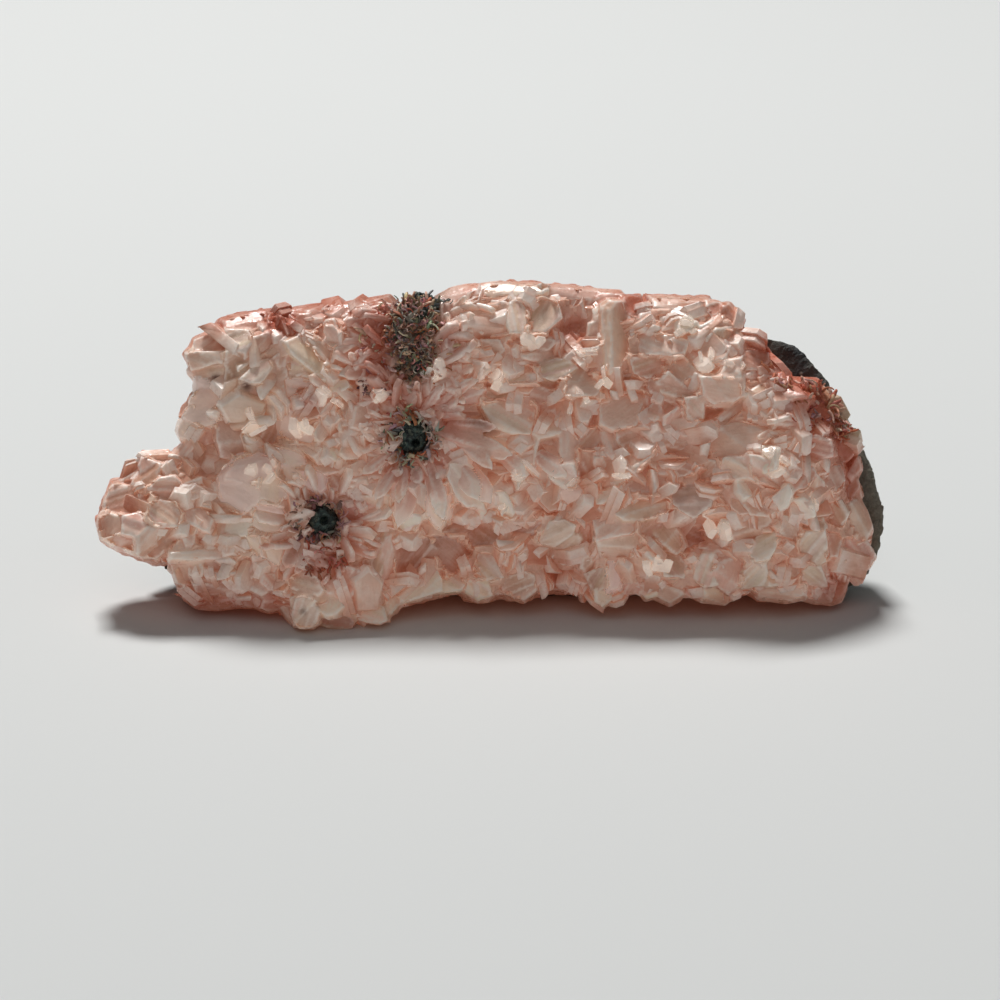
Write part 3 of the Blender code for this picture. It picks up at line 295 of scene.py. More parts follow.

# Stained spots of the face: place, reach, colour and strength. The near-black spots are painted shade of
# holes, pits and cracks, not stains.
STAINS_AND_SHADE = [
    (27.0, 4.0, 9.0, WARM, 0.45), (6.0, -13.0, 6.0, WARM, 0.2), (14.0, 2.0, 6.0, WARM, 0.2),
    (-37.0, 6.0, 9.0, GREY, 0.25), (-32.7, 20.5, 1.7, ROOT, 0.95), (-30.4, 20.1, 1.2, ROOT, 0.95),
    (-16.6, 20.0, 2.6, ROOT, 0.6), (-16.6, 15.0, 2.4, ROOT, 0.55), (-13.0, 9.6, 3.2, ROOT, 0.5),
    (-7.4, 12.0, 2.6, ROOT, 0.4), (-7.6, 19.0, 2.0, ROOT, 0.5), (-12.2, 3.4, 4.6, ROOT, 0.38),
    (-7.6, 4.6, 2.2, ROOT, 0.4), (-37.0, 23.0, 2.2, ROOT, 0.5), (-27.0, 24.0, 2.2, ROOT, 0.5),
    (-26.0, -9.3, 4.0, ROOT, 0.4), (-41.4, 12.0, 0.5, CREVICE_SHADE, 0.9), (-36.9, 11.0, 0.5, CREVICE_SHADE, 0.9),
    (-32.5, 8.3, 0.5, CREVICE_SHADE, 0.8), (-28.4, -22.6, 0.4, CREVICE_SHADE, 0.7), (-32.0, 23.5, 3.0, ROOT, 0.55),
    (-22.0, 23.5, 4.0, ROOT, 0.5), (-41.5, 20.5, 1.8, ROOT, 0.6), (-27.5, 8.6, 1.7, ROOT, 0.75),
    (-42.4, -0.6, 3.0, ROOT, 0.3), (-41.4, -15.8, 1.1, ROOT, 0.5), (-17.4, 18.5, 2.6, ROOT, 0.75),
    (-18.0, 13.5, 2.2, ROOT, 0.55), (-15.5, 9.4, 2.4, ROOT, 0.6), (-6.5, 17.5, 2.2, ROOT, 0.55),
    (-6.5, 6.6, 1.6, ROOT, 0.6), (-9.0, 3.8, 1.3, HOLE_SHADE, 0.5), (-11.0, 23.5, 2.8, GREEN, 0.8),
    (-12.0, 19.4, 2.0, GREEN, 0.6), (-12.0, 15.2, 2.4, GREEN, 0.8), (-17.6, 11.4, 1.2, HOLE_SHADE, 0.7),
    (-12.3, 3.2, 2.3, GREEN, 0.6), (-18.0, 2.2, 1.0, HOLE_SHADE, 0.6), (-12.4, -1.5, 2.6, ROOT, 0.5),
    (-26.0, -9.3, 2.2, HOLE_SHADE, 0.5), (-22.0, -8.0, 2.4, ROOT, 0.6), (-25.6, -15.4, 2.4, ROOT, 0.8),
    (-27.0, -13.4, 1.0, HOLE_SHADE, 0.7), (-1.8, 5.2, 1.3, CREVICE_SHADE, 0.5), (11.4, 20.4, 2.2, ROOT, 0.7),
    (21.0, 24.0, 1.6, ROOT, 0.8), (41.0, 16.4, 2.6, ROOT, 0.85), (44.6, 12.6, 2.2, ROOT, 0.8),
    (47.8, 10.4, 3.0, ROOT, 0.9), (51.0, 7.6, 3.0, ROOT, 0.9), (53.0, 3.0, 2.2, ROOT, 0.85),
    (53.4, -1.2, 1.8, ROOT, 0.75), (54.0, -4.6, 1.4, ROOT, 0.65), (51.6, 10.6, 1.3, YELLOW, 0.7),
    (53.6, 7.6, 1.5, YELLOW, 0.85), (55.0, 4.6, 1.5, YELLOW, 0.85), (48.8, -7.1, 0.8, HOLE_SHADE, 0.8),
    (51.0, -19.4, 1.8, ROOT, 0.8), (10.0, -18.0, 2.4, ROOT, 0.35), (-44.0, -21.0, 2.2, ROOT, 0.7),
    (-38.0, -22.0, 2.4, ROOT, 0.6), (-32.5, -22.0, 2.0, ROOT, 0.5), (-59.0, -9.5, 1.6, ROOT, 0.4),
    (-33.5, 1.4, 1.4, ROOT, 0.4), (-41.8, 12.4, 0.6, HOLE_SHADE, 0.6), (-36.6, 11.6, 0.7, HOLE_SHADE, 0.6),
    (30.8, -11.2, 1.6, ROOT, 0.4),
]


def mixed(first, second, share):
    return [a + (b - a) * share for a, b in zip(first, second)]


def share_of(value, low, high):
    return min(1.0, max(0.0, (value - low) / (high - low)))


def stained(colour, across, up, above=USUAL_HEIGHT):
    """The colour of heulandite at a place of the face: pale at the tips, with a painted highlight where it
    stands out, darker near the crust with painted shade, redder inside it."""
    colour = mixed(colour, TIP_AND_HIGHLIGHT, TIP_AND_HIGHLIGHT_SHARE * share_of(above, *TIP_AND_HIGHLIGHT_HEIGHTS))
    colour = mixed(colour, HOLLOW_SHADE, HOLLOW_SHADE_SHARE * share_of(-above, *HOLLOW_SHADE_DEPTHS))
    colour = mixed(colour, ROOT, ROOT_SHARE * share_of(-above, *ROOT_DEPTHS))
    for spot_across, spot_up, reach, spot_colour, strength in STAINS_AND_SHADE:
        squared = ((across - spot_across) ** 2 + (up - spot_up) ** 2) / (reach * reach)
        if squared < SPOT_LIMIT:
            # The painted shade of holes shows only low down, in the hollows
            shown = 1.0 - share_of(above, *HOLE_SHADE_HEIGHTS) if spot_colour is HOLE_SHADE else 1.0
            colour = mixed(colour, spot_colour, strength * shown * math.exp(-squared * 0.5))
    return colour


@functools.cache
def rim_distance(across, up):
    """Distance from a point of the face to the edge of the crust."""
    spot = Vector((across, up))
    nearest = math.inf
    for start, end in zip(CRUST_OUTLINE, CRUST_OUTLINE[1:] + CRUST_OUTLINE[:1]):
        start, end = Vector(start), Vector(end)
        along = end - start
        share = max(0.0, min(1.0, (spot - start).dot(along) / along.length_squared))
        nearest = min(nearest, (spot - start - along * share).length)
    return nearest


def crust_height(across, up):
    """How far the crust stands out at a point of the face, without its crystals."""
    height = -RIM_DROP * math.exp(-rim_distance(across, up) / RIM_REACH)
    for swell_across, swell_up, reach, rise in SWELLS:
        squared = (across - swell_across) ** 2 + (up - swell_up) ** 2
        height += rise * math.exp(-squared / (2 * reach * reach))
    height -= RIGHT_SLOPE * max(0.0, across - RIGHT_SLOPE_START)
    height -= LEFT_SLOPE * max(0.0, LEFT_SLOPE_START - across)
    return height


def paint(mesh, colours):
    """Store a colour and how near it is to a crystal's edge on each vertex."""
    layer = mesh.attributes.new("tone", "FLOAT_COLOR", "POINT")
    layer.data.foreach_set("color", [part for colour in colours for part in colour])


def heulandite_finish(name, clear):
    """Translucent heulandite: its colour from the crystal, milky clouds, fine striae, and pale edges that
    are milky in part and in part a painted highlight.

    The emission is a small stand-in for the light that passes through a real crystal."""
    veil, rim = (0.92, 0.81, 0.73, 1), (0.95, 0.87, 0.81, 1)
    finish = Finish(name)
    place = finish.place()
    tone = finish.node("ShaderNodeAttribute", {"attribute_name": "tone"}, {}, "Color")
    edge = finish.node("ShaderNodeAttribute", {"attribute_name": "tone"}, {}, "Alpha")
    along = finish.node("ShaderNodeAttribute", {"attribute_name": "striae"}, {}, "Vector")
    clouds = finish.noise(place, 0.25, 2.0, 0.5)
    specks = finish.noise(place, 2.2, 3.0, 0.6)
    striae = finish.node("ShaderNodeTexNoise", {}, {"Vector": along, "Scale": 1.0, "Detail": 4.0}, "Fac")
    colour = finish.scaled(tone, clouds * 0.4 + striae * 0.16 + 0.88)
    pale_toned = finish.step(tone, 0.2, 0.38)
    rim_and_highlight_share = 0.95 if clear else 0.8
    veils = finish.step(striae * 0.3 + clouds * 0.7, 0.49, 0.62)
    colour = finish.blend(veils * pale_toned * 0.42, colour, veil)
    # Pale outer edges: partly the milky rims of the crystals, partly a painted highlight where edges catch
    # the light
    colour = finish.blend(edge * pale_toned * (specks + 0.4) * rim_and_highlight_share, colour, rim)
    bright = finish.step(finish.noise(place, 0.9, 2.0, 0.5), 0.54, 0.64)
    rough = specks * 0.16 + 0.26 - bright * 0.24
    swell = finish.noise(place, 0.5, 2.0, 0.5)
    relief = striae * 0.22 + specks * 0.3 + swell * 1.8
    hue = (0.9, 0.88, 0.85) if clear else GLOW
    glow = finish.node("ShaderNodeVectorMath", {"operation": "MULTIPLY"}, {0: tone, 1: hue})
    sockets = {
        "Base Color": colour, "Roughness": rough, "Emission Color": glow, "IOR": 1.5,
        "Normal": finish.bump(relief, 0.2 * MM, 0.8),
    }
    if clear:
        sockets.update({
            "Transmission Weight": 0.5, "Roughness": rough * 0.4, "Emission Strength": 0.12,
        })
    else:
        sockets.update({
            "Subsurface Weight": 0.7, "Subsurface Radius": (1.0, 0.92, 0.88),
            "Subsurface Scale": 0.6 * MM, "Emission Strength": 0.1,
        })
    return finish.done(sockets)


heulandite = heulandite_finish("heulandite", clear=False)
clear_heulandite = heulandite_finish("clear_heulandite", clear=True)


def middle_of(edge):
    return sum((Vector((x, y, 0)) for x, y in edge), Vector()) / len(edge)


# Sizes in millimetres. Ranges are what the random draws are taken from.
CRYSTAL_DEPTH = 3.6
SOFT_GRAIN = 0.3
EDGE_GROWTH = 1.06
BLOCK_WIDTH = 26
WALL_FLARES = (math.radians(10), math.radians(36))
PLATE_FLARES = (math.radians(2), math.radians(13))
REACH_PAST_EDGE = 0.8
MERGED = 0.14
# A front longer than this many widths gets a ridge, and many others a slanted facet or a step
LONG_SHAPE = 1.9
RIDGE_SLOPE, RIDGE_SPREAD = math.radians(17), (0.6, 1.2)
FACET_SHARE, FACET_SLOPES, FACET_OFFSETS = 0.65, (14, 34), (0.05, 0.3)
BORDER_WIDEST, BORDER_SHARE, EDGE_SLOPE = 0.34, 0.12, 0.14
STEP_FROM_WIDTH, STEP_SHARE, STEP_WIDTHS, STEP_DEPTHS = 2.6, 0.4, (0.07, 0.15), (0.12, 0.3)
# Narrow crystals stay single, and wider ones become two plates or up to five, each a little shorter
SINGLE_WIDTH, SINGLE_SHARE, TWO_PLATE_WIDTH, MOST_PLATES = 2.0, 0.2, 2.8, 5
CUT_SPREAD, MOST_SHORTENED, DEEPEST_SUNK, PLATE_TILT = 0.25, 0.13, 0.32, 0.09
# How far each crystal may differ from its row
RISE_SPREAD, TURN_SPREAD, LEAN_RANGE = 0.3, 30, (1.2, 2.0)
ROSE_SHARE, CLEAR_ROSE_SHARE, HUE_RANGE = 0.25, 0.05, (0.95, 1.05)
CLEAR_ABOVE = 1.7
# Noise waves a millimetre of the surface lines, along a crystal and across it, and how far they may shift
LINES_ALONG, LINES_ACROSS, LINE_SHIFT = 0.3, 2.2, 100
EDGE_BULGES = (0.015, 0.1)
OUT = Vector((0, 0, 1))
chance = random.Random(5)
fronts_on_face = []


def slice_off(point, direction):
    """Cut away what lies on the outer side of a plane, and close the cut."""
    bpy.ops.mesh.select_all(action="SELECT")
    bpy.ops.mesh.bisect(plane_co=point, plane_no=direction, use_fill=True, clear_outer=True)


def score(point, direction):
    """Add an edge loop where a plane passes through."""
    bpy.ops.mesh.select_all(action="SELECT")
    bpy.ops.mesh.bisect(plane_co=point, plane_no=direction)


def select_facing(directions, least=0.996):
    """Select the faces that look one of these ways."""
    bm = bmesh.from_edit_mesh(bpy.context.edit_object.data)
    for face in bm.faces:
        face.select_set(any(face.normal.dot(direction) > least for direction in directions))
    bm.select_flush_mode()
    bmesh.update_edit_mesh(bpy.context.edit_object.data)


def leaning(towards, lean):
    """A direction that leans away from straight out of the face. Angles in degrees."""
    turn, tilt = math.radians(towards), math.radians(lean)
    return Vector((math.cos(turn) * math.sin(tilt), math.sin(turn) * math.sin(tilt), math.cos(tilt)))


def long_axis(edge):
    """The direction of the longest line between two corners, the one across it, and both extents."""
    corners = [Vector((x, y, 0)) for x, y in edge]
    first, second = max(
        ((a, b) for a in corners for b in corners), key=lambda pair: (pair[0] - pair[1]).length)
    axis = (second - first).normalized()
    side = axis.cross(OUT)
    across = [corner.dot(side) for corner in corners]
    return axis, side, (second - first).length, max(across) - min(across)


def block_cut_by(edge, middle, front, depth, flares):
    """A block cut along the front plane and along a flaring plane at each edge of the outline."""
    bpy.ops.mesh.primitive_cube_add(size=1, location=middle, scale=(BLOCK_WIDTH, BLOCK_WIDTH, depth * 2))
    bpy.ops.object.transform_apply()
    bpy.ops.object.mode_set(mode="EDIT")
    slice_off(middle, front)
    corners = [Vector((x, y, 0)) for x, y in edge]
    for corner, following in zip(corners, corners[1:] + corners[:1]):
        centre = (corner + following) / 2
        offset = centre - Vector((middle.x, middle.y, 0))
        outward = (following - corner).cross(OUT).normalized()
        if outward.dot(offset) < 0:
            outward = -outward
        centre.z = middle.z - offset.dot(front) / front.z
        flare = chance.uniform(*flares)
        slice_off(centre, outward * math.cos(flare) + OUT * math.sin(flare))
        slice_off(centre + outward * REACH_PAST_EDGE, outward)
    axis = long_axis(edge)[0]
    reaches = [corner.dot(axis) for corner in corners]
    slice_off(axis * (max(reaches) + REACH_PAST_EDGE / 2), axis)
    slice_off(axis * (min(reaches) - REACH_PAST_EDGE / 2), -axis)


def shape_front(middle, front, edge):
    """Give the front a ridge, a slanted facet or a step, and a bevelled edge. Returns its planes."""
    axis, side, length, width = long_axis(edge)
    planes = [(middle, front)]
    if length / width > LONG_SHAPE:
        bend = math.tan(RIDGE_SLOPE * chance.uniform(*RIDGE_SPREAD))
        planes += [(middle, (front + side * bend * way).normalized()) for way in (-1, 1)]
    elif chance.random() < FACET_SHARE:
        way = leaning(chance.uniform(0, 360), 90)
        slant = (front + way * math.tan(math.radians(chance.uniform(*FACET_SLOPES)))).normalized()
        planes.append((middle + way * width * chance.uniform(*FACET_OFFSETS), slant))
    for point, normal in planes[1:]:
        slice_off(point, normal)
    bpy.ops.mesh.select_all(action="SELECT")
    bpy.ops.mesh.remove_doubles(threshold=MERGED)
    border = min(BORDER_WIDEST, width * BORDER_SHARE)
    select_facing([normal for point, normal in planes])
    bpy.ops.mesh.inset(thickness=border, depth=EDGE_SLOPE, use_even_offset=False)
    if width > STEP_FROM_WIDTH and chance.random() < STEP_SHARE:
        step = width * chance.uniform(*STEP_WIDTHS)
        bpy.ops.mesh.inset(thickness=step, depth=0.02, use_even_offset=False)
        bpy.ops.mesh.inset(thickness=0.12, depth=chance.uniform(*STEP_DEPTHS), use_even_offset=False)
    return planes


def part_of(edge, side, low, high):
    """The part of an outline that lies between two parallel lines."""
    for limit, way in ((low, 1), (high, -1)):
        kept = []
        for (x0, y0), (x1, y1) in zip(edge, edge[1:] + edge[:1]):
            before = (x0 * side.x + y0 * side.y - limit) * way
            after = (x1 * side.x + y1 * side.y - limit) * way
            if before >= 0:
                kept.append((x0, y0))
            if before * after < 0:
                share = before / (before - after)
                kept.append((x0 + (x1 - x0) * share, y0 + (y1 - y0) * share))
        edge = kept
    return edge


def plates_of(edge):
    """Cut an outline along its length into plates that end at different lengths."""
    axis, side, length, width = long_axis(edge)
    if width < SINGLE_WIDTH or length / width > LONG_SHAPE or chance.random() < SINGLE_SHARE:
        return [edge]
    across = [x * side.x + y * side.y for x, y in edge]
    low, high = min(across), max(across)
    count = 2 if width < TWO_PLATE_WIDTH else chance.randint(2, MOST_PLATES)
    cuts = [
        low + (high - low) * (number + chance.uniform(-CUT_SPREAD, CUT_SPREAD)) / count
        for number in range(1, count)]
    cuts = [low - 1] + cuts + [high + 1]
    plates = []
    for first, second in zip(cuts, cuts[1:]):
        plate = part_of(edge, side, first, second)
        middle, shrink = middle_of(plate), chance.uniform(0.0, MOST_SHORTENED)
        plates.append([
            (x - axis.x * along * shrink, y - axis.y * along * shrink)
            for x, y in plate for along in [(Vector((x, y, 0)) - middle).dot(axis)]])
    return plates


def grow(tone, rise, leans_to, lean, *steps):
    """One crystal, in the face frame, as one plate or a few plates side by side. Returns the plates, each
    with what its surface needs: its lines' direction and start, its colour and if it is clear."""
    edge = corners_of(steps)
    middle = middle_of(edge)
    edge = [(middle.x + (x - middle.x) * EDGE_GROWTH, middle.y + (y - middle.y) * EDGE_GROWTH)
            for x, y in edge]
    height = crust_height(middle.x, middle.y) + rise / 10
    middle.z = height + chance.uniform(-RISE_SPREAD, RISE_SPREAD)
    front = leaning(
        leans_to + chance.uniform(-TURN_SPREAD, TURN_SPREAD), lean * chance.uniform(*LEAN_RANGE))
    axis, side = long_axis(edge)[:2]
    clear = tone == "clear"
    base = mixed(
        TONES[tone], TONES["rose"], chance.uniform(0.0, CLEAR_ROSE_SHARE if clear else ROSE_SHARE))
    plates = []
    edges = plates_of(edge)
    flares = WALL_FLARES if len(edges) == 1 else PLATE_FLARES
    for plate in edges:
        own = middle_of(plate)
        own.z = middle.z - (own - middle).xy.dot(front.xy) / front.z - chance.uniform(0.0, DEEPEST_SUNK)
        tilted = (front + side * chance.uniform(-PLATE_TILT, PLATE_TILT)).normalized()
        block_cut_by(plate, own, tilted, CRYSTAL_DEPTH, flares)
        fronts_on_face.append((plate, shape_front(own, tilted, plate)))
        bpy.ops.object.mode_set(mode="OBJECT")
        colour = [part * chance.uniform(*HUE_RANGE) for part in base]
        ground = crust_height(own.x, own.y)

        def colour_at(spot, colour=colour, ground=ground):
            return stained(colour, spot.x, spot.y, CLEAR_ABOVE if clear else spot.z - ground)

        plates.append((bpy.context.object, axis, side, chance.uniform(0, LINE_SHIFT), colour_at, clear))
    return plates


def join(items, name):
    bpy.ops.object.select_all(action="DESELECT")
    for item in items:
        item.select_set(True)
    bpy.context.view_layer.objects.active = items[0]
    bpy.ops.object.join()
    items[0].name = name
    return items[0]


def set_on_crust(piece):
    """Bring a piece from the face frame to how the specimen stands, as a part of the crust."""
    piece.data.transform(from_face)
    keep_above_floor(piece)
    finish_piece(piece, None, "heulandite", "heulandite_crust")


def edge_shares(mesh):
    """How much of an outer edge each vertex lies on, from how far it stands out of its neighbours."""
    sums = [Vector() for vert in mesh.vertices]
    counts = [0] * len(sums)
    for line in mesh.edges:
        first, second = line.vertices
        sums[first] += mesh.vertices[second].co
        sums[second] += mesh.vertices[first].co
        counts[first] += 1
        counts[second] += 1
    return [
        share_of((vert.co - total / count).dot(vert.normal) / SOFT_GRAIN, *EDGE_BULGES)
        for vert, total, count in zip(mesh.vertices, sums, counts)]


def grown_together(name, plates):
    """One soft-edged body of many crystals, each part of it with the surface of the crystal it was."""
    corners, faces, owners = [], [], []
    for item, *marks in plates:
        first = len(corners)
        corners += [vert.co.copy() for vert in item.data.vertices]
        faces += [[first + number for number in face.vertices] for face in item.data.polygons]
        owners += [marks] * len(item.data.polygons)
    crystals = BVHTree.FromPolygons(corners, faces)
    piece = join([plate[0] for plate in plates], name)
    select_only(piece)
    even_grain(piece, SOFT_GRAIN)
    apply_modifier(piece, "soft", "SMOOTH", factor=0.5, iterations=1)
    mesh = piece.data
    colours, lines, clear_at = [], [], []
    for vert, near_edge in zip(mesh.vertices, edge_shares(mesh)):
        axis, side, shift, colour_at, clear = owners[crystals.find_nearest(vert.co)[2]]
        spot = vert.co
        colours.append((*colour_at(spot), near_edge))
        lengthwise = spot.dot(axis) * LINES_ALONG + spot.z * LINES_ALONG + shift
        lines += [lengthwise, spot.dot(side) * LINES_ACROSS, 0.0]
        clear_at.append(clear)
    paint(mesh, colours)
    mesh.attributes.new("striae", "FLOAT_VECTOR", "POINT").data.foreach_set("vector", lines)
    mesh.materials.clear()
    mesh.materials.append(heulandite)
    mesh.materials.append(clear_heulandite)
    for face in mesh.polygons:
        face.material_index = int(clear_at[face.vertices[0]])
    mesh.shade_smooth()
    set_on_crust(piece)


def cluster(name, rows):
    """The crystals of one area. A row gives the tone, how far the front stands out of the crust, the way
    it leans in degrees (0 is right, 90 is up), how much it leans, and the edge of its front: the place
    of one corner and the step from each corner to the next. Lengths are in tenths of a millimetre."""
    grown_together(name, [plate for row in rows for plate in grow(*row)])


# Ridge of the upper left
# Pale beige to clear plates that stand in steps along the upper left edge, round a warm pocket.
# They are tabular heulandite, grown onto the crust.

cluster("upper_left_ridge", [
    ("rose", 4, 130, 24, -429, 186, 11, 19, 15, 4, 1, -12, -20, -8),
    ("beige", 14, 100, 10, -450, 179, 18, 8, 31, 10, 0, -35, -48, -2),
    ("salmon", 6, 95, 22, -405, 209, 43, 9, 17, 1, -2, -17, -18, -7, -37, 3),
    ("beige", 20, 100, 14, -401, 196, 35, -2, 10, -13, -14, -21, -30, 1),
    ("salmon", 15, 320, 16, -356, 183, 22, 4, 4, -15, -16, -11, -23, -10, -2, 9),
    ("tan", 12, 280, 18, -400, 160, 29, -1, 2, -13, -16, -5, -15, 0),
    ("beige", 22, 170, 10, -461, 158, 12, 4, 45, -1, 0, -22, -28, 0, -20, -5),
    ("pale", 12, 190, 14, -458, 135, 23, 3, 30, 0, -1, -10, -20, -5, -21, 0),
    ("tan", 3, 260, 14, -425, 121, 15, 5, 5, -2, -1, -12, -14, -1),
    ("clear", 8, 200, 12, -446, 122, 19, -2, 17, -11, 8, -4, -36, -3, -8, 7),
    ("tan", 9, 0, 12, -401, 140, 17, -1, 2, -17, -1, -15, -19, -1),
    ("beige", 19, 60, 14, -382, 139, 30, 8, 14, 12, 8, -19, -16, -25, -19, -2, -16, 9),
    ("tan", 8, 300, 15, -383, 113, 21, -2, 16, -5, -1, -22, -36, 0, -3, 16),
    ("clear", 16, 120, 12, -453, 90, 9, 10, 34, 2, 18, -4, 6, -10, -12, -8, -49, 2),
    ("clear", 18, 170, 12, -468, 66, 10, 13, 23, 1, 22, -5, -3, -19, -17, -5, -27, 8),
    ("clear", 16, 190, 14, -475, 42, 4, 15, 11, 1, 17, -8, -15, -17, -13, -1),
    ("tan", 15, 60, 8, -413, 56, 11, 5, 24, 1, 22, -8, -2, -21, -4, -19, -22, -6, -22, 4, -8, 24),
    ("brown", 2, 330, 12, -354, 53, 14, 20, 16, 4, 5, -17, -3, -20, -10, -17, -18, -1, -7, 14),
    ("pale", 13, 40, 14, -330, 153, 18, 19, 14, -8, -4, -18, -20, -10),
    ("tan", 6, 250, 12, -330, 138, 20, 4, 2, -18, -16, -8, -18, 2),
    ("pale", 10, 80, 12, -342, 112, 28, 6, 4, -26, -12, -10, -20, 6),
])

# Left lobe
# Smooth salmon blocks and a fan of long blades on the lobe that sticks out at the left.
# Tabular heulandite, grown onto the crust.

cluster("left_lobe", [
    ("pale", 17, 130, 16, -502, -16, 28, 38, 16, 10, 12, 12, 8, 0, -24, -36, -34, -35),
    ("salmon", 5, 320, 15, -449, 33, 11, 14, 18, -1, 2, -20, -12, -2),
    ("salmon", 12, 110, 12, -540, 7, 14, -3, 27, -8, -4, -20, -19, -16, -24, 4, 11, 26),
    ("pale", 3, 140, 16, -560, -19, 18, 2, 5, 3, -7, -14, -20, -2),
    ("salmon", 9, 300, 12, -500, -27, 21, 3, 20, -22, -3, -14, -40, 2, -18, 15),
    ("pale", 10, 150, 14, -576, -39, 22, 1, 20, -11, 2, -23, -8, -6, -35, -1, -12, 13),
    ("salmon", 6, 30, 18, -534, -50, 14, -5, 2, -20, -13, -1),
    ("pale", 25, 190, 12, -594, -94, 18, 15, 18, -5, -1, -24, -25, -6),
    ("rose", 27, 120, 14, -556, -83, 26, 4, 13, -19, -17, -16, -23, 6),
    ("pale", 23, 240, 12, -579, -117, 21, 5, 22, -7, -8, -15, -22, 5),
    ("salmon", 25, 300, 14, -532, -117, 18, 17, 12, -4, -6, -18, -22, -16),
    ("pale", 15, 80, 12, -502, -60, 26, -4, 9, -22, -4, -14, -25, -1, -19, 15, -2, 19),
    ("tan", 11, 240, 14, -501, -103, 28, 1, -1, -21, -12, -9, -8, -18, -26, 5, 11, 25),
    ("pale", 16, 100, 12, -461, -76, 25, 3, 14, -13, -2, -19, -14, 2, -20, 13),
    ("pale", 18, 60, 10, -468, -110, 9, 6, 12, -9, 0, -13, -15, -2),
    ("salmon", 4, 20, 16, -456, -94, 16, -12, 14, -20, -18, 0, -2, 14),
    ("cream", 18, 90, 16, -480, -133, 28, 2, 34, 0, 36, 1, 0, -14, -38, -4, -59, 1),
    ("pale", 12, 220, 14, -488, -148, 24, 2, 4, -18, -8, -24, -10, 8),
    ("cream", 17, 110, 12, -458, -150, 21, -1, 3, -17, -3, -8, -19, 4),
    ("cream", 12, 80, 16, -426, -170, 24, -1, 14, 9, -8, -19, -22, 0),
    ("tan", 9, 280, 14, -452, -179, 32, -3, 36, -2, -2, -15, -32, -3, -26, 6),
    ("rose", 5, 250, 22, -466, -206, 22, 7, 34, -5, 24, 3, 0, -15, -34, -4, -28, 2),
    ("rose", 9, 270, 18, -382, -196, 22, 3, 15, -11, -9, -18, -24, 2),
    ("pale", 13, 90, 14, -383, -182, 19, 2, 24, -4, 6, -12, -14, -6, -22, 10),
    ("rose", 9, 290, 20, -341, -199, 17, -9, 5, -15, -19, -4, -14, 4),
    ("tan", 9, 200, 12, -380, -148, 24, 4, 6, -22, -14, -12, -20, 4),
    ("pale", 11, 60, 12, -346, -168, 20, -2, 4, -26, -14, 2, -14, 12),
])

# Clear plates
# Grey, see-through plates between the left lobe and the lower core, with milky rims.
# They are the purest heulandite of the piece, grown onto the crust.

cluster("clear_plates", [
    ("clear", 26, 90, 14, -398, -19, 18, 21, 30, 5, 20, -5, 7, -12, -19, -16, -28, -6, -28, 5),
    ("clear", 22, 200, 12, -409, -26, 24, -4, 25, -4, 11, -12, -6, -22, -23, -11, -20, 11, -10, 24),
    ("clear", 20, 30, 14, -346, -31, 20, 10, 17, -15, -1, -20, -14, -9, -22, 6),
    ("clear", 18, 300, 10, -362, -77, 18, 9, 26, -4, 10, -16, -8, -17, -24, -6, -18, 12),
    ("white", 17, 130, 12, -396, -90, 20, 7, 11, -11, -5, -18, -18, -4, -12, 12),
    ("pale", 10, 170, 12, -418, -96, 17, 9, 2, -19, -11, -14, -8, 4),
    ("clear", 18, 240, 14, -369, -115, 29, -5, 21, -16, -5, -18, -22, 10, -21, 13),
    ("pale", 11, 250, 14, -364, -142, 20, -6, 22, -11, -8, -10, -26, 7),
    ("clear", 15, 70, 12, -330, 20, 26, -5, 20, -9, 1, -12, -27, -6, -14, 12),
    ("cream", 12, 110, 14, -286, 3, 26, -3, 4, -13, -24, -3, -24, 2),
    ("clear", 20, 200, 12, -296, -19, 39, 0, 4, -23, -7, -7, -22, 11),
    ("white", 20, 60, 16, -252, 22, 10, -8, 5, -13, -11, 3, -8, 12),
    ("cream", 14, 330, 14, -236, 16, 17, -10, -4, -11, -13, 4),
    ("salmon", 9, 80, 12, -251, -7, 26, 0, 8, -23, -2, -23, -25, 9, -6, 20),
    ("rose", 4, 240, 16, -288, -40, 26, -12, 6, -8, -28, -6, -12, 12),
    ("clear", 12, 170, 14, -320, -8, 20, -8, 12, -18, -14, -2, -14, 10),
    ("tan", 10, 200, 12, -306, -40, 16, -4, -2, -26, -14, -4, -4, 16),
])

# Fans of the top left
# Leaves and fans along the top left and down to the middle, creamy with pinkish roots.
# Heulandite blades grown together side by side on the crust.

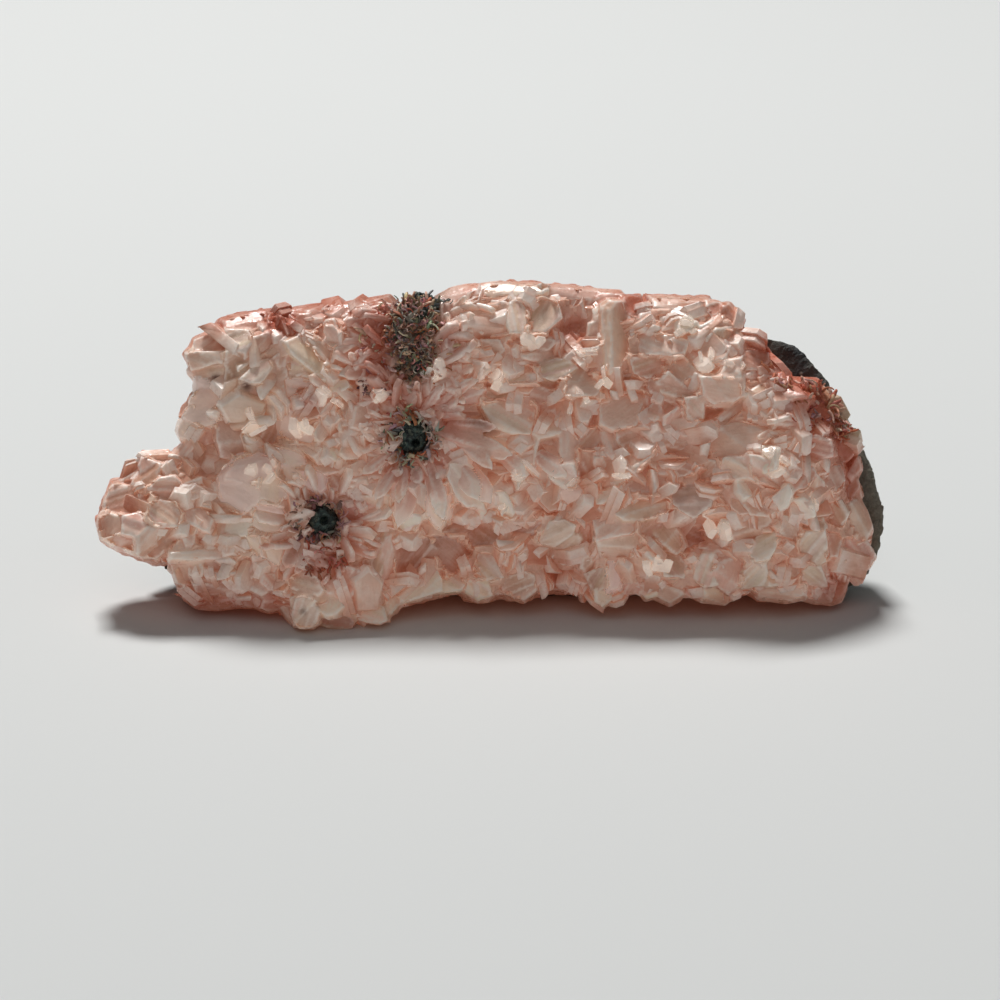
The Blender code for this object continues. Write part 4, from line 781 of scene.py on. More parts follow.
cluster("top_fan", [
    ("pale", 8, 90, 24, -338, 222, 46, 6, 8, -8, -30, -3, -22, -1),
    ("tan", 10, 60, 14, -294, 219, 16, 0, 13, -7, -3, -14, -18, -2, -12, 10),
    ("pale", 12, 90, 22, -282, 228, 36, 4, 3, -9, -17, -4, -18, 2),
    ("rose", 8, 90, 22, -244, 228, 24, 7, 21, 3, -3, -12, -20, -7),
    ("pale", 15, 120, 14, -264, 192, 12, 18, 12, 2, 11, -22, -7, -13, -20, 2),
    ("beige", 17, 70, 12, -226, 210, 17, 5, 24, -1, 3, -24, -14, -22, -18, 6, -6, 20),
    ("rose", 7, 80, 20, -200, 237, 40, 7, 8, -8, -12, -10, -32, 0),
    ("cream", 26, 50, 20, -310, 176, 23, 4, 22, -26, 19, -28, -8, -6, -24, 18, -20, 18),
    ("beige", 15, 330, 14, -285, 182, 23, -4, 25, -14, -5, -30, -14, 15, -14, 18),
    ("salmon", 14, 280, 14, -238, 168, 28, 4, 18, -12, 7, -13, -27, -4, -28, -18, -4, 19),
    ("salmon", 5, 270, 20, -240, 121, 30, 18, 6, 1, -4, -13, -18, -7),
    ("beige", 13, 230, 14, -302, 147, 18, 3, 18, -15, 6, -11, -26, -3, -24, 4),
    ("clear", 14, 260, 12, -312, 122, 32, -3, 28, -7, 10, -10, -28, 5, -28, -9, -12, -14),
    ("cream", 19, 100, 14, -252, 118, 32, 2, 6, -11, -14, -9, -16, 2),
    ("clear", 10, 300, 12, -273, 72, 13, 12, 14, 2, 6, -18, -18, -7),
    ("clear", 15, 250, 14, -321, 58, 10, 26, 12, -12, 23, -14, 30, -14, -4, -12, -40, -6, -26, 10),
    ("tan", 9, 40, 12, -252, 61, 22, 0, 13, -9, -3, -19, -26, 1),
    ("beige", 11, 70, 12, -220, 98, 18, 1, 10, -15, -12, -21, -24, 0, -2, 23),
    ("white", 17, 60, 16, -200, 83, 20, 4, 9, -11, -15, -14, -14, 4),
    ("salmon", 9, 110, 14, -218, 124, 18, -3, 6, -20, -12, -3, -14, 6),
    ("rose", 8, 0, 22, -176, 219, 12, 4, 5, -23, -7, -15, -11, 11),
    ("rose", 9, 320, 18, -182, 172, 18, 5, 5, -20, -17, -4),
    ("rose", 5, 250, 20, -202, 148, 24, 1, 16, -8, -1, -12, -27, 4),
    ("cream", 14, 300, 16, -198, 124, 20, 0, 12, -20, -16, -8, -14, 8),
    ("tan", 9, 230, 12, -244, 98, 18, -2, -6, -20, -12, -2, -8, 16),
    ("salmon", 8, 300, 12, -214, 58, 18, 2, 10, -16, -10, -20, -22, 2),
])

# Petals of the upper cores
# Short petals that open to both sides of the two upper cores.
# Heulandite that grew outwards from the green cores.

cluster("core_petals", [
    ("rose", 11, 90, 22, -84, 244, 18, 10, 24, 5, 18, 0, 0, -10, -36, -9),
    ("rose", 10, 40, 18, -80, 237, 22, -2, 12, -17, -8, -18, -14, -10, -10, 16),
    ("pale", 17, 80, 12, -50, 222, 20, 5, 19, 7, 3, -27, -26, -3, -18, 0),
    ("white", 20, 50, 16, -72, 186, 16, 1, 7, -18, -15, -10, -10, 11),
    ("salmon", 8, 300, 18, -46, 184, 16, -2, 4, -17, -16, -9, -8, 10),
    ("rose", 7, 280, 20, -84, 146, 30, 9, 24, 2, -2, -12, -32, -7, -22, -2),
    ("pale", 19, 80, 16, -88, 132, 18, 0, 28, -2, 28, 4, 2, -13, -28, -8, -36, -7, -14, 8),
    ("pale", 18, 300, 12, -94, 90, 28, 15, 26, 3, 24, -4, -10, -18, -34, -12, -32, 0),
    ("white", 19, 60, 18, -116, 73, 20, 2, 36, -5, 20, -6, -36, -2, -32, 3),
    ("rose", 12, 200, 14, -150, 120, 18, 0, 4, -20, -11, -15, -11, 7),
    ("pale", 14, 330, 14, -125, 118, 23, 4, 3, -16, -11, -21, -16, 9),
    ("pale", 14, 110, 14, -176, 93, 23, 2, 11, -17, -12, -13, -18, 7),
    ("beige", 10, 90, 12, -20, 202, 18, 0, 11, -3, 8, -10, -11, -7, -26, 0, -14, 10),
    ("pale", 12, 120, 16, -82, 110, 16, 2, 10, -3, -16, -9, -16, -5),
])

# Sprays of the middle core
# Long pointed petals that spray down and right from the middle core, with pale see-through tips.
# Heulandite that grew outwards from the green core.

cluster("middle_sprays", [
    ("cream", 17, 110, 18, -206, -8, 38, 13, 14, -5, -8, -10, -34, -7),
    ("pale", 18, 90, 16, -218, -17, 32, -1, 28, 3, 0, -9, -36, -7, -22, 2),
    ("white", 22, 220, 14, -158, -18, 21, 6, 3, -22, -18, -9, -14, 11),
    ("cream", 13, 100, 14, -204, -38, 22, 4, 14, -8, -8, -13, -26, -1),
    ("cream", 16, 240, 14, -198, -56, 28, 8, 14, -4, 4, -22, -14, -10, -24, 11),
    ("white", 22, 120, 18, -154, -46, 20, 2, 4, -14, -18, -4),
    ("white", 26, 230, 12, -150, -81, 28, 1, 20, -2, -12, -17, -22, -12, -12, 13),
    ("salmon", 8, 270, 26, -138, -67, 10, 8, 17, -15, -25, -2),
    ("white", 25, 200, 14, -123, -46, 12, 11, 11, -3, 1, -22, -5, -15, -20, 19),
    ("clear", 34, 330, 14, -97, -40, 28, 1, 5, -17, -3, -30, -13, -16, -6, 3, -13, 19, 0, 20),
    ("white", 30, 20, 16, -65, -7, 25, 3, 16, -13, 9, -25, -1, -30, -24, 3, -16, 15, -13, 28),
    ("cream", 19, 260, 14, -40, 34, 30, -1, 24, -1, 13, -12, 13, -17, -16, -12, -44, 11, -18, 6),
    ("white", 18, 110, 18, -126, -6, 18, -4, 4, -20, -14, -6, -12, 12),
    ("white", 24, 130, 20, -98, -18, 16, -1, -1, -11, -13, -1),
    ("rose", 11, 250, 18, -96, 9, 22, -5, 6, -16, -16, -4, -12, 10),
    ("pale", 14, 320, 14, -84, 16, 24, -10, 24, 0, -8, -8, -26, 0),
    ("white", 24, 300, 20, -22, -70, 9, 2, 3, -18, -8, -2),
    ("rose", 9, 270, 16, -192, -12, 18, 10, 12, 16, -16, -4, -20, -10),
    ("cream", 12, 200, 12, -214, 22, 16, -2, 8, -14, -16, -6, -14, 8),
])

# Lower middle
# An orange-pink fracture, upright blades and stacked creamy plates down to the lower edge.
# Heulandite, partly broken, grown onto the crust.

cluster("lower_middle", [
    ("rose", 6, 300, 10, -230, -61, 20, -4, 26, -8, 14, -17, -6, -21, -40, -2, -10, 23),
    ("tan", 9, 250, 12, -198, -116, 26, 1, 4, -13, -10, -18, -18, 1, -4, 19),
    ("pale", 16, 200, 14, -170, -113, 7, 2, -2, -29, -7, -34, -8, -10, -2, 38),
    ("pale", 12, 0, 16, -163, -120, 10, 3, 3, -43, -3, -30, -19, -1, 0, 21),
    ("tan", 8, 190, 14, -198, -148, 15, -1, 3, -27, -10, -5, -10, 17),
    ("pale", 18, 170, 16, -204, -164, 9, -8, -7, -18, -14, -17, -4, 17, 6, 16),
    ("pale", 12, 200, 14, -232, -161, 16, 2, 9, -5, -13, -24, -10, 2),
    ("brown", 9, 280, 12, -148, -125, 24, 9, 27, 1, 12, -19, -3, -24, -28, -15, -28, -6),
    ("brown", 5, 320, 14, -92, -114, 32, -3, 22, -19, -2, -22, -20, -12, -20, 12),
    ("cream", 22, 90, 16, -146, -183, 22, 3, 35, 18, 8, -14, 1, -20, -30, -10, -30, -8),
    ("cream", 16, 60, 16, -84, -164, 12, -11, 18, 2, 13, -13, -9, -10, -30, -2),
    ("cream", 20, 120, 14, -308, -181, 22, 18, 21, -11, 14, -22, -13, -12, -20, 8, -20, -4),
    ("tan", 30, 260, 16, -296, -210, 10, 8, 12, -1, 11, -17, 0, -20, -11, -10, -18, 0, -8, 16),
    ("pale", 18, 210, 18, -316, -207, 17, -2, -3, -23, 6, -16, -10, 8, -10, 14),
    ("mauve", 10, 270, 20, -259, -236, 21, 7, 20, -1, 9, -14, -4, -9, -25, -2, -20, 7),
    ("cream", 20, 90, 14, -256, -201, 23, 0, 8, -15, -9, -12, -16, -4, -9, 10),
    ("pale", 14, 60, 14, -223, -207, 12, -2, 0, -16, -12, -1),
    ("cream", 23, 120, 14, -207, -220, 21, 5, 21, -5, 6, -20, -15, -8, -14, 5, -17, 3),
    ("salmon", 10, 250, 16, -198, -188, 22, -7, 3, -14, -17, -4, -13, 9),
    ("cream", 17, 30, 16, -163, -200, 14, -2, 3, -16, -8, -12, -8, 6),
    ("cream", 14, 100, 14, -248, -178, 15, -2, 5, -18, -20, 0, -4, 10),
    ("rose", 8, 280, 20, -284, -150, 16, -8, 22, 3, 12, -5, -6, -10, -26, 0),
    ("cream", 15, 320, 16, -236, -136, 21, 2, 6, -16, -11, -8, -14, 6),
    ("tan", 10, 180, 14, -318, -86, 18, -4, 2, -16, -18, -2),
    ("tan", 11, 190, 14, -326, -118, 22, 1, 5, -19, -15, -16, -14, 8),
    ("salmon", 7, 230, 16, -312, -156, 16, 8, 6, -14, -20, -14, -14, 6),
    ("cream", 12, 30, 16, -224, -116, 20, 0, 2, -14, -24, 0),
])

# Centre top
# Arched pale plates along the top edge, a tall column and smooth peach tablets below it.
# Tabular heulandite, grown onto the crust.

cluster("centre_top", [
    ("cream", 14, 90, 22, -20, 259, 29, 5, 30, -1, 37, -5, -12, -15, -30, 3, -22, 1, -28, 2),
    ("pale", 13, 80, 22, 79, 259, 31, -1, 44, -6, -1, -11, -37, 2, -22, 0, -14, 7),
    ("rose", 9, 90, 20, 156, 252, 34, -2, -2, -8, -30, -5, -18, -2, 2, 7),
    ("beige", 13, 200, 14, -6, 241, 21, -2, 2, -19, -7, -15, -12, 3),
    ("beige", 22, 100, 14, 19, 218, 5, 19, 7, 7, 9, -6, 8, -14, 2, -22, -7, -13, -18, 0, -6, 13),
    ("beige", 24, 100, 14, 54, 222, 18, 19, 18, 0, 8, -11, 4, -16, -13, -12, -15, -13, -18, 0, -4, 17),
    ("tan", 12, 280, 20, -20, 179, 28, 0, 8, -15, -12, -15, -10, -1, -14, 16),
    ("tan", 13, 90, 16, 28, 185, 42, 0, 24, -6, -14, -13, -44, 0, -12, 8),
    ("pale", 16, 70, 18, 44, 162, 54, 2, -4, -12, -24, -5, -24, 4),
    ("pale", 14, 110, 14, 104, 183, 20, 6, 13, -4, -2, -16, -25, -2, -9, 5),
    ("tan", 17, 200, 10, 139, 182, 3, 24, 20, 3, 1, -25, -17, -11),
    ("pale", 22, 20, 16, 167, 228, 13, 8, 13, -2, 5, -26, 2, -44, -10, -22, -14, -10, -9, 18),
    ("white", 16, 120, 18, 148, 227, 22, 7, 6, 4, -12, -24, -14, -2),
    ("pale", 15, 190, 12, 138, 150, 12, 18, 14, 6, 2, -28, -4, -17, -18, 3),
    ("rust", 8, 80, 22, 195, 247, 25, -1, 3, -16, -13, -14, -11, 6),
    ("white", 17, 60, 14, 220, 219, 14, 2, 9, -15, -11, -13, -15, 7),
    ("white", 18, 40, 18, 205, 212, 9, -6, -2, -21, -8, 1),
    ("pale", 20, 90, 16, 218, 189, 40, -2, 32, -9, -3, -20, -27, -2, -42, 4),
    ("tan", 22, 60, 16, 131, 146, 15, -20, 15, -16, -5, -12, -38, -4, -16, 4, 9, 22),
    ("tan", 17, 110, 12, 67, 147, 23, 4, 24, 1, 11, -13, -19, -14, -18, -6, -20, 5),
    ("cream", 16, 60, 16, 19, 134, 38, 9, 4, -23, -7, -5, -33, -2),
    ("pale", 14, 110, 12, -10, 138, 27, -1, -1, -24, -24, 4),
    ("cream", 24, 60, 14, -19, 83, 29, 5, 40, -3, 14, -5, -4, -22, -6, -18, -28, 0, -24, 9, -10, 13),
    ("pale", 18, 60, 10, 161, 88, 39, 9, 22, 2, -1, -21, -7, -24, -34, -8, -21, 10),
    ("salmon", 9, 330, 14, 226, 98, 14, -4, 0, -16, -10, -4, -6, 8),
    ("salmon", 12, 30, 12, 204, 154, 32, -1, 24, -4, -10, -24, -26, -4, -18, 9),
    ("brown", 6, 240, 14, 184, 124, 20, 5, 6, -11, -10, -13, -16, 5),
    ("salmon", 8, 270, 16, 68, 121, 20, -4, 17, 6, -17, -16, -18, 3),
    ("salmon", 12, 270, 12, 20, 109, 48, 0, 18, -8, 2, -13, -20, -2, -38, 6),
    ("white", 17, 70, 14, 121, 89, 17, 4, 2, -10, -10, -8, -9, 5),
    ("rust", 9, 270, 16, 118, 69, 12, 3, 26, -1, 2, -19, -33, -4),
    ("salmon", 9, 200, 12, 69, 82, 19, 2, 26, 4, 2, -18, -30, -8, -17, 0),
    ("salmon", 9, 330, 12, 166, 124, 14, 4, 2, -22, -12, -10, -8, 12),
    ("tan", 9, 100, 14, -10, 112, 24, -2, 12, -14, -20, -4, -20, 4),
])

# Centre
# An arch of thin plates, small white blocks and slanting blades in the middle of the face.
# Tabular heulandite, grown onto the crust.

cluster("centre", [
    ("pale", 19, 200, 18, 53, 14, 6, 23, 9, -1, -4, -22, -2, -21, -6, 3),
    ("pale", 21, 90, 18, 60, 41, 16, 8, 22, 4, 2, -13, -14, -4, -18, -2),
    ("pale", 22, 20, 14, 102, 53, 18, -3, 2, -24, -1, -26, -16, -7, -6, 23),
    ("salmon", 2, 200, 14, 66, 28, 28, 1, 3, -23, -11, -12, -20, 2),
    ("white", 27, 230, 16, 78, -16, 14, 6, 26, 5, 9, -30, -9, -7, -18, 3, -18, 13),
    ("clear", 18, 250, 14, 96, -50, 8, 4, 25, 0, -1, -10, -10, -7, -10, 0),
    ("white", 24, 120, 16, 171, -31, 15, 10, 24, 26, 23, 12, 5, -5, -16, -19, -20, -18, -18, -11),
    ("white", 20, 110, 14, 146, -54, 22, 9, 13, 4, -1, -11, -14, -13, -13, -1),
    ("beige", 24, 230, 14, 63, -124, 19, 31, 24, 4, 19, -8, -7, -15, -26, -17),
    ("beige", 19, 240, 16, 90, -134, 18, 14, 16, 10, 5, -10, -11, -17, -28, -6),
    ("tan", 13, 250, 16, 99, -148, 21, 8, 10, -6, -2, -14, -29, 2),
    ("tan", 16, 260, 18, 129, -150, 8, 9, 13, 0, 0, -19, -10, -9, -9, 5),
    ("mauve", 11, 200, 14, 26, -96, 14, 9, 20, -3, 14, 0, -13, -22, -19, -14, -14, 16),
    ("salmon", 6, 300, 12, 56, -52, 32, -4, 4, -22, -28, -6, -14, 14),
    ("white", 24, 120, 18, 34, -13, 9, 6, 11, -13, -8, -8, -10, -14, -3, 12),
    ("white", 26, 210, 18, 0, -48, 14, 1, 10, -15, 7, -18, -3, -8, -18, 8, -19, 16),
    ("salmon", 10, 30, 12, 126, 44, 30, 4, 6, -18, -12, -14, -24, -2),
    ("pale", 15, 60, 16, 162, 42, 14, -2, 10, -26, -8, -12, -14, 14),
    ("salmon", 10, 280, 12, 128, 10, 22, 2, 12, -20, -12, -18, -21, 2),
    ("pale", 13, 300, 14, 150, 4, 14, 0, 6, -20, -14, -4, -7, 12),
    ("salmon", 9, 250, 14, 146, -30, 24, -4, 10, -5, -34, -11, -12, 6),
    ("salmon", 10, 60, 12, 184, 42, 30, 8, 12, -10, -6, -20, -24, -8, -12, 12),
    ("tan", 8, 20, 12, 132, -64, 18, -4, 0, -18, -16, -6, -6, 14),
    ("salmon", 7, 330, 14, 129, -98, 15, 6, 0, -30, -12, -12, -4, 18),
    ("salmon", 7, 90, 12, 22, -30, 10, -2, 16, -20, -14, -6, -14, 10),
    ("brown", 4, 60, 14, -10, -24, 24, 4, 4, -22, -20, -4, -10, 8),
    ("brown", 4, 120, 12, -44, -96, 28, 2, 30, -8, -8, -26, -40, 0),
    ("brown", 4, 30, 12, -80, -108, 30, 26, 24, -12, -22, -18),
])

# Pink blocks
# Blocks and teeth of the lower right centre, deep salmon with pale corners.
# Tabular heulandite, grown onto the crust.

cluster("pink_blocks", [
    ("pale", 18, 90, 12, 149, -91, 29, 6, 28, 2, 4, -25, -57, -12),
    ("pale", 19, 80, 14, 184, -80, 22, 17, 36, 7, 15, -3, -1, -19, -36, -11, -24, 0),
    ("salmon", 10, 330, 12, 216, -92, 32, 8, 6, -22, -20, -18, -18, 12),
    ("pale", 15, 290, 12, 153, -122, 31, 7, 29, 3, 9, -16, -24, -16, -34, 0),
    ("clear", 18, 10, 16, 170, -147, 20, -1, 4, -16, -8, -26, -13, -4, -4, 24),
    ("tan", 14, 200, 14, 136, -172, 16, 9, 15, 2, 0, -31, -21, -2),
    ("cream", 19, 260, 18, 151, -195, 22, 1, 5, -14, -14, -12, -13, 8),
    ("rose", 5, 270, 18, 186, -190, 12, 11, 10, 5, 12, -12, -4, -14, -26, -4),
    ("pale", 16, 250, 14, 196, -150, 28, 12, 16, -8, 5, -20, -15, -12, -20, 7, -12, 5),
    ("white", 20, 30, 18, 226, -136, 8, -2, 16, -18, -6, 0, -10, 8),
    ("cream", 15, 250, 18, 226, -182, 22, -8, -5, -14, -13, -4, -11, 7),
    ("pale", 19, 120, 14, -24, -137, 18, -3, 12, -20, 9, -18, -23, -3, -22, 9, 0, 16),
    ("cream", 19, 240, 18, -38, -179, 29, -5, 7, -19, -20, -7, -22, 13),
    ("tan", 18, 270, 14, 19, -175, 27, 8, 15, -6, 4, -22, -21, -15, -34, 14),
    ("mauve", -6, 90, 14, 70, -166, 28, 2, 28, -12, -6, -22, -48, 4),
    ("salmon", 11, 90, 12, 242, -86, 20, 4, 12, -22, 8, -22, -6, -8, -26, 10, -12, 16),
    ("tan", 14, 260, 18, 245, -184, 15, -6, 18, 8, 4, -21, -18, -10, -13, 6),
    ("tan", 5, 60, 14, 252, -134, 22, -4, 18, -18, -8, -20, -30, 2),
])

# Tablets of the upper right
# Pale square tablets and salmon rhombs, the flattest and brightest faces of the piece.
# Tabular heulandite, grown onto the crust.

cluster("right_tablets", [
    ("tan", 10, 80, 20, 240, 245, 50, -4, 26, -1, -4, -16, -32, -1, -40, 6),
    ("rose", 13, 60, 20, 319, 240, 31, -5, -8, -16, -12, -5, -12, 8),
    ("rust", 9, 40, 24, 346, 232, 10, 0, 17, -20, -3, -9, -16, 9, -10, 10),
    ("pale", 14, 110, 14, 248, 217, 22, -2, -2, -18, -18, -5),
    ("white", 20, 100, 18, 276, 213, 24, -5, -6, -16, -21, 1),
    ("white", 19, 60, 18, 307, 200, 23, 11, 10, -11, -18, -13, -14, 1),
    ("tan", 16, 300, 14, 317, 182, 21, 15, 23, -4, -1, -15, -16, -6, -14, -9, -11, 7),
    ("salmon", 9, 30, 18, 364, 196, 24, -7, 12, -6, -10, -5, -27, 2),
    ("pale", 30, 100, 12, 319, 144, 27, 5, 9, 20, 15, -2, -3, -44, -47, 1),
    ("pale", 33, 250, 10, 296, 114, 5, 8, 64, -2, 1, -24, -10, -7, -40, -5, -4, 15),
    ("salmon", 13, 30, 16, 371, 165, 27, 0, 12, -5, 5, -14, -15, -11, -29, 0),
    ("pale", 26, 330, 10, 283, 93, 28, 3, 3, -16, 0, -20, -25, -3, -3, 21),
    ("salmon", 20, 100, 14, 261, 136, 18, 17, 21, -14, 17, -14, -17, -3, -20, -3),
    ("salmon", 21, 250, 12, 243, 116, 17, 16, 16, -13, 18, -6, 4, -14, -20, -6, -10, -9, -15, 6),
    ("rose", 17, 290, 14, 253, 64, 22, 16, 12, -18, -17, -18, -17, 6),
    ("salmon", 13, 110, 12, 225, 77, 14, 10, 11, -3, 5, -18, -15, -9, -13, 7),
    ("brick", -8, 100, 10, 316, 76, 24, 6, 12, -4, -18, -16, -17, 0),
    ("tan", 5, 60, 14, 336, 66, 28, 22, 16, 2, -6, -15, -24, -15, -12, -2),
    ("pale", 20, 80, 18, 370, 98, 34, 13, 13, -5, -17, -9, -20, -3),
    ("pale", 22, 120, 12, 324, 26, 18, 25, 28, 5, 30, -11, 13, -9, -23, -18, -26, -14, -34, 1),
    ("salmon", 12, 300, 12, 236, 48, 30, -8, 20, 10, 26, 2, 6, -28, -32, -18, -40, 10),
    ("salmon", 10, 200, 14, 228, 120, 18, 2, -2, -26, -16, 6),
    ("salmon", 9, 60, 14, 288, 174, 26, -6, 4, -22, -14, -4, -18, 14),
])

# Red fracture
# Fibrous crystals stained rust red next to the basalt at the upper right.
# Heulandite with iron oxide in its cracks, broken off along the edge.

cluster("red_fracture", [
    ("rose", 9, 30, 20, 372, 132, 42, 8, 18, -13, -22, -9, -36, 2),
    ("rust", 7, 60, 22, 422, 124, 38, -2, 26, -4, -16, -10, -40, 3),
    ("pale", 15, 90, 20, 406, 108, 48, -3, 10, -10, -34, -5, -22, 6),
    ("rust", 8, 40, 20, 466, 108, 32, 2, 12, -16, -18, -8, -24, 6),
    ("clear", 13, 200, 14, 389, 89, 19, 1, 2, -20, -17, -3),
    ("mauve", 11, 250, 14, 413, 85, 33, -1, 7, -15, -21, -6, -17, 5),
    ("rose", 9, 20, 18, 459, 84, 35, -5, 14, -10, -22, -9, -24, 5),
    ("salmon", 13, 280, 14, 402, 59, 46, -1, 10, -11, -18, -7, -20, -1),
    ("rust", 9, 330, 18, 464, 55, 40, 0, 12, -11, -18, -5, -28, 3),
    ("brick", 8, 20, 20, 512, 72, 16, -10, 14, -22, -12, -8, -14, 16),
    ("brick", 8, 340, 20, 514, 34, 21, -7, 9, -18, -14, -14, -14, 14),
    ("rose", 15, 240, 14, 455, 19, 25, 19, 26, -9, 2, -23, -22, -8, -24, 2),
    ("pale", 14, 40, 14, 494, -9, 28, 1, 6, -22, -14, -19, -16, 13),
    ("pale", 15, 60, 18, 427, 36, 27, -7, -5, -16, 13, -16, -20, -5, -16, 20),
])

# Right hump
# A fan of slanting blades and blocks on the hump at the right.
# Tabular heulandite, grown onto the crust.

cluster("right_hump", [
    ("white", 29, 30, 22, 402, 20, 10, -1, -5, -36, -7, 2),
    ("white", 29, 10, 22, 416, 16, 9, -2, -3, -27, -7, -2),
    ("pale", 22, 220, 12, 343, 3, 32, 1, 6, -24, 15, -16, -22, 7, -26, 2, -13, 17),
    ("pale", 24, 300, 14, 379, 6, 19, -4, 27, -20, 7, -17, -14, -8, -16, 4, -17, 17),
    ("rose", 16, 40, 14, 447, -9, 31, 0, 5, -11, -17, -22, -17, -4, -7, 16),
    ("white", 29, 210, 18, 414, -58, 12, 13, 11, 8, 6, -13, -8, -21, -9, -6, -7, 11),
    ("white", 29, 240, 18, 449, -60, 13, 4, 17, -12, 0, -17, -16, -5, -6, 12),
    ("pale", 18, 330, 14, 484, -22, 12, -12, 1, -21, -13, -3, -10, 16),
    ("beige", 23, 280, 12, 454, -124, 13, 16, 28, 4, 4, -26, -2, -22, -15, -5, -20, 9),
    ("tan", 12, 90, 14, 461, -96, 33, 12, 5, -16, -34, -3),
    ("beige", 13, 270, 16, 462, -161, 29, 0, 8, -19, 3, -12, -32, 4, -8, 6),
    ("salmon", 12, 200, 14, 335, -35, 13, -2, 8, -21, 12, -5, -8, -15, -23, 6),
    ("white", 24, 40, 20, 365, -31, 9, -5, 10, -17, -11, -4, -9, 11),
    ("white", 24, 250, 12, 339, -89, 22, 1, 0, -10, -11, -15, -15, 0),
    ("mauve", 17, 110, 12, 259, -47, 11, 17, 14, -10, 20, 5, 24, -8, -5, -25, -25, -18, -20, 10, -13, 12),
    ("tan", 15, 260, 12, 358, -99, 30, 13, 22, -2, 10, -7, -14, -9, -20, -19, -21, -1, -10, 9),
    ("salmon", 16, 60, 14, 371, -67, 23, 6, 19, -15, -3, -9, -26, 2),
    ("tan", 15, 330, 12, 428, -83, 24, -5, 5, -16, -6, -20, -16, -4, -10, 20),
    ("salmon", 10, 270, 14, 290, -92, 36, 18, 8, -12, -2, -20, -22, 2),
    ("brown", -4, 90, 12, 274, -102, 20, 4, 22, -12, 2, -16, -28, -6),
    ("salmon", 12, 100, 12, 240, 2, 36, -2, 26, 4, 2, -24, -26, -6, -34, 6),
    ("tan", 11, 250, 12, 306, 2, 26, -2, 0, -28, -24, -4),
    ("salmon", 10, 60, 12, 204, -29, 26, 19, 24, -16, -2, -22, -32, -2, -26, 6),
])

# Lower right
# Pale pink groups of blocks and leaves along the lower right edge.
# Tabular heulandite, grown onto the crust.

cluster("lower_right", [
    ("pale", 19, 190, 12, 301, -158, 9, 16, 22, 4, -9, -26, 11, -22, -20, -6, -14, 16),
    ("salmon", 18, 330, 12, 326, -168, 14, 18, 30, 6, 2, -20, -7, -24, -15, -9, -18, 12),
    ("salmon", 10, 90, 16, 312, -132, 22, 6, 14, -6, 28, -7, -8, -3, -32, 3),
    ("beige", 20, 120, 12, 395, -115, 23, 9, 11, -5, -7, -19, -12, -17, -21, -5, -11, 12),
    ("beige", 20, 250, 14, 383, -156, 22, 3, 5, -15, -6, -20, -32, -4, 0, 22),
    ("cream", 17, 60, 16, 412, -170, 27, -2, 1, -14, -28, -3),
    ("salmon", 13, 60, 16, 420, -155, 16, 2, 5, -10, -19, -4),
    ("tan", 8, 0, 16, 443, -142, 16, -14, 0, -22, -13, -2, -5, 20),
    ("cream", 16, 270, 16, 392, -192, 38, 4, 30, -5, 6, -10, -26, -6, -36, 5),
    ("cream", 15, 270, 20, 315, -195, 21, 5, 21, -12, -11, -9, -28, 3),
    ("salmon", 9, 260, 20, 284, -186, 26, -10, 4, -12, -28, 1),
    ("tan", 11, 200, 14, 501, -64, 20, 5, 13, -23, -9, -22, -20, 11),
    ("pale", 12, 20, 14, 535, -65, 19, 4, 6, -19, 10, -18, -6, -20, -18, 9, -11, 23),
    ("rose", 10, 330, 12, 527, -115, 39, -9, 12, -20, -14, -22, -27, 8, -14, 22),
    ("rust", 5, 280, 18, 505, -152, 20, -5, 14, -13, -2, -14, -25, -6),
    ("rust", 9, 270, 22, 509, -191, 23, -2, -6, -15, -16, -5, -11, 6),
    ("salmon", 10, 260, 20, 475, -194, 25, -1, 6, -17, -18, 1, -18, 5),
    ("pale", 12, 30, 20, 534, -20, 18, 23, 3, -12, -11, -22),
    ("salmon", 9, 350, 16, 534, -40, 19, 13, 5, -28, -24, -3),
    ("salmon", 9, 60, 14, 502, -109, 20, -3, -2, -30, -16, -2),
])
# Ground of the crust
# The massive part of the heulandite crust, below its crystals. It is pink to brick red near the rock,
# and it shows between the crystals, on the broken sides and on the underside. Grown onto the basalt.

GROUND_GRAIN = 0.68
GROUND_LIFT = 1.0
FLAT_RIM = 1.5
CLEAR_OF_FRONT = 0.45
# Noise waves a millimetre across the fibres, along them and in the lumps, and the heights of both
FIBRES_ACROSS, FIBRES_ALONG, LUMPS = 1.5, 0.22, 0.55
FIBRE_HEIGHT, LUMP_HEIGHT = 0.22, 0.5
TAN_TO_SALMON = (-30, 0)
PATCHES = 0.35


def inside(across, up, edge):
    """True if a point lies in an outline."""
    crossings = False
    for (x0, y0), (x1, y1) in zip(edge, edge[1:] + edge[:1]):
        if (y0 > up) != (y1 > up) and across < (x1 - x0) * (up - y0) / (y1 - y0) + x0:
            crossings = not crossings
    return crossings


def front_height(across, up, planes):
    """How far a crystal's front stands out at a point of the face."""
    spot = Vector((across, up, 0))
    return min(point.z - (spot - point).xy.dot(normal.xy) / normal.z for point, normal in planes)


def ground_colour(spot):
    """Tan at the left and salmon from the middle on, with uneven paler patches."""
    colour = mixed(TONES["tan"], TONES["salmon"], share_of(spot.x, *TAN_TO_SALMON))
    patch = 0.5 + 0.5 * noise.noise(spot * PATCHES)
    return mixed(colour, TONES["pale"], 0.3 + 0.4 * patch)


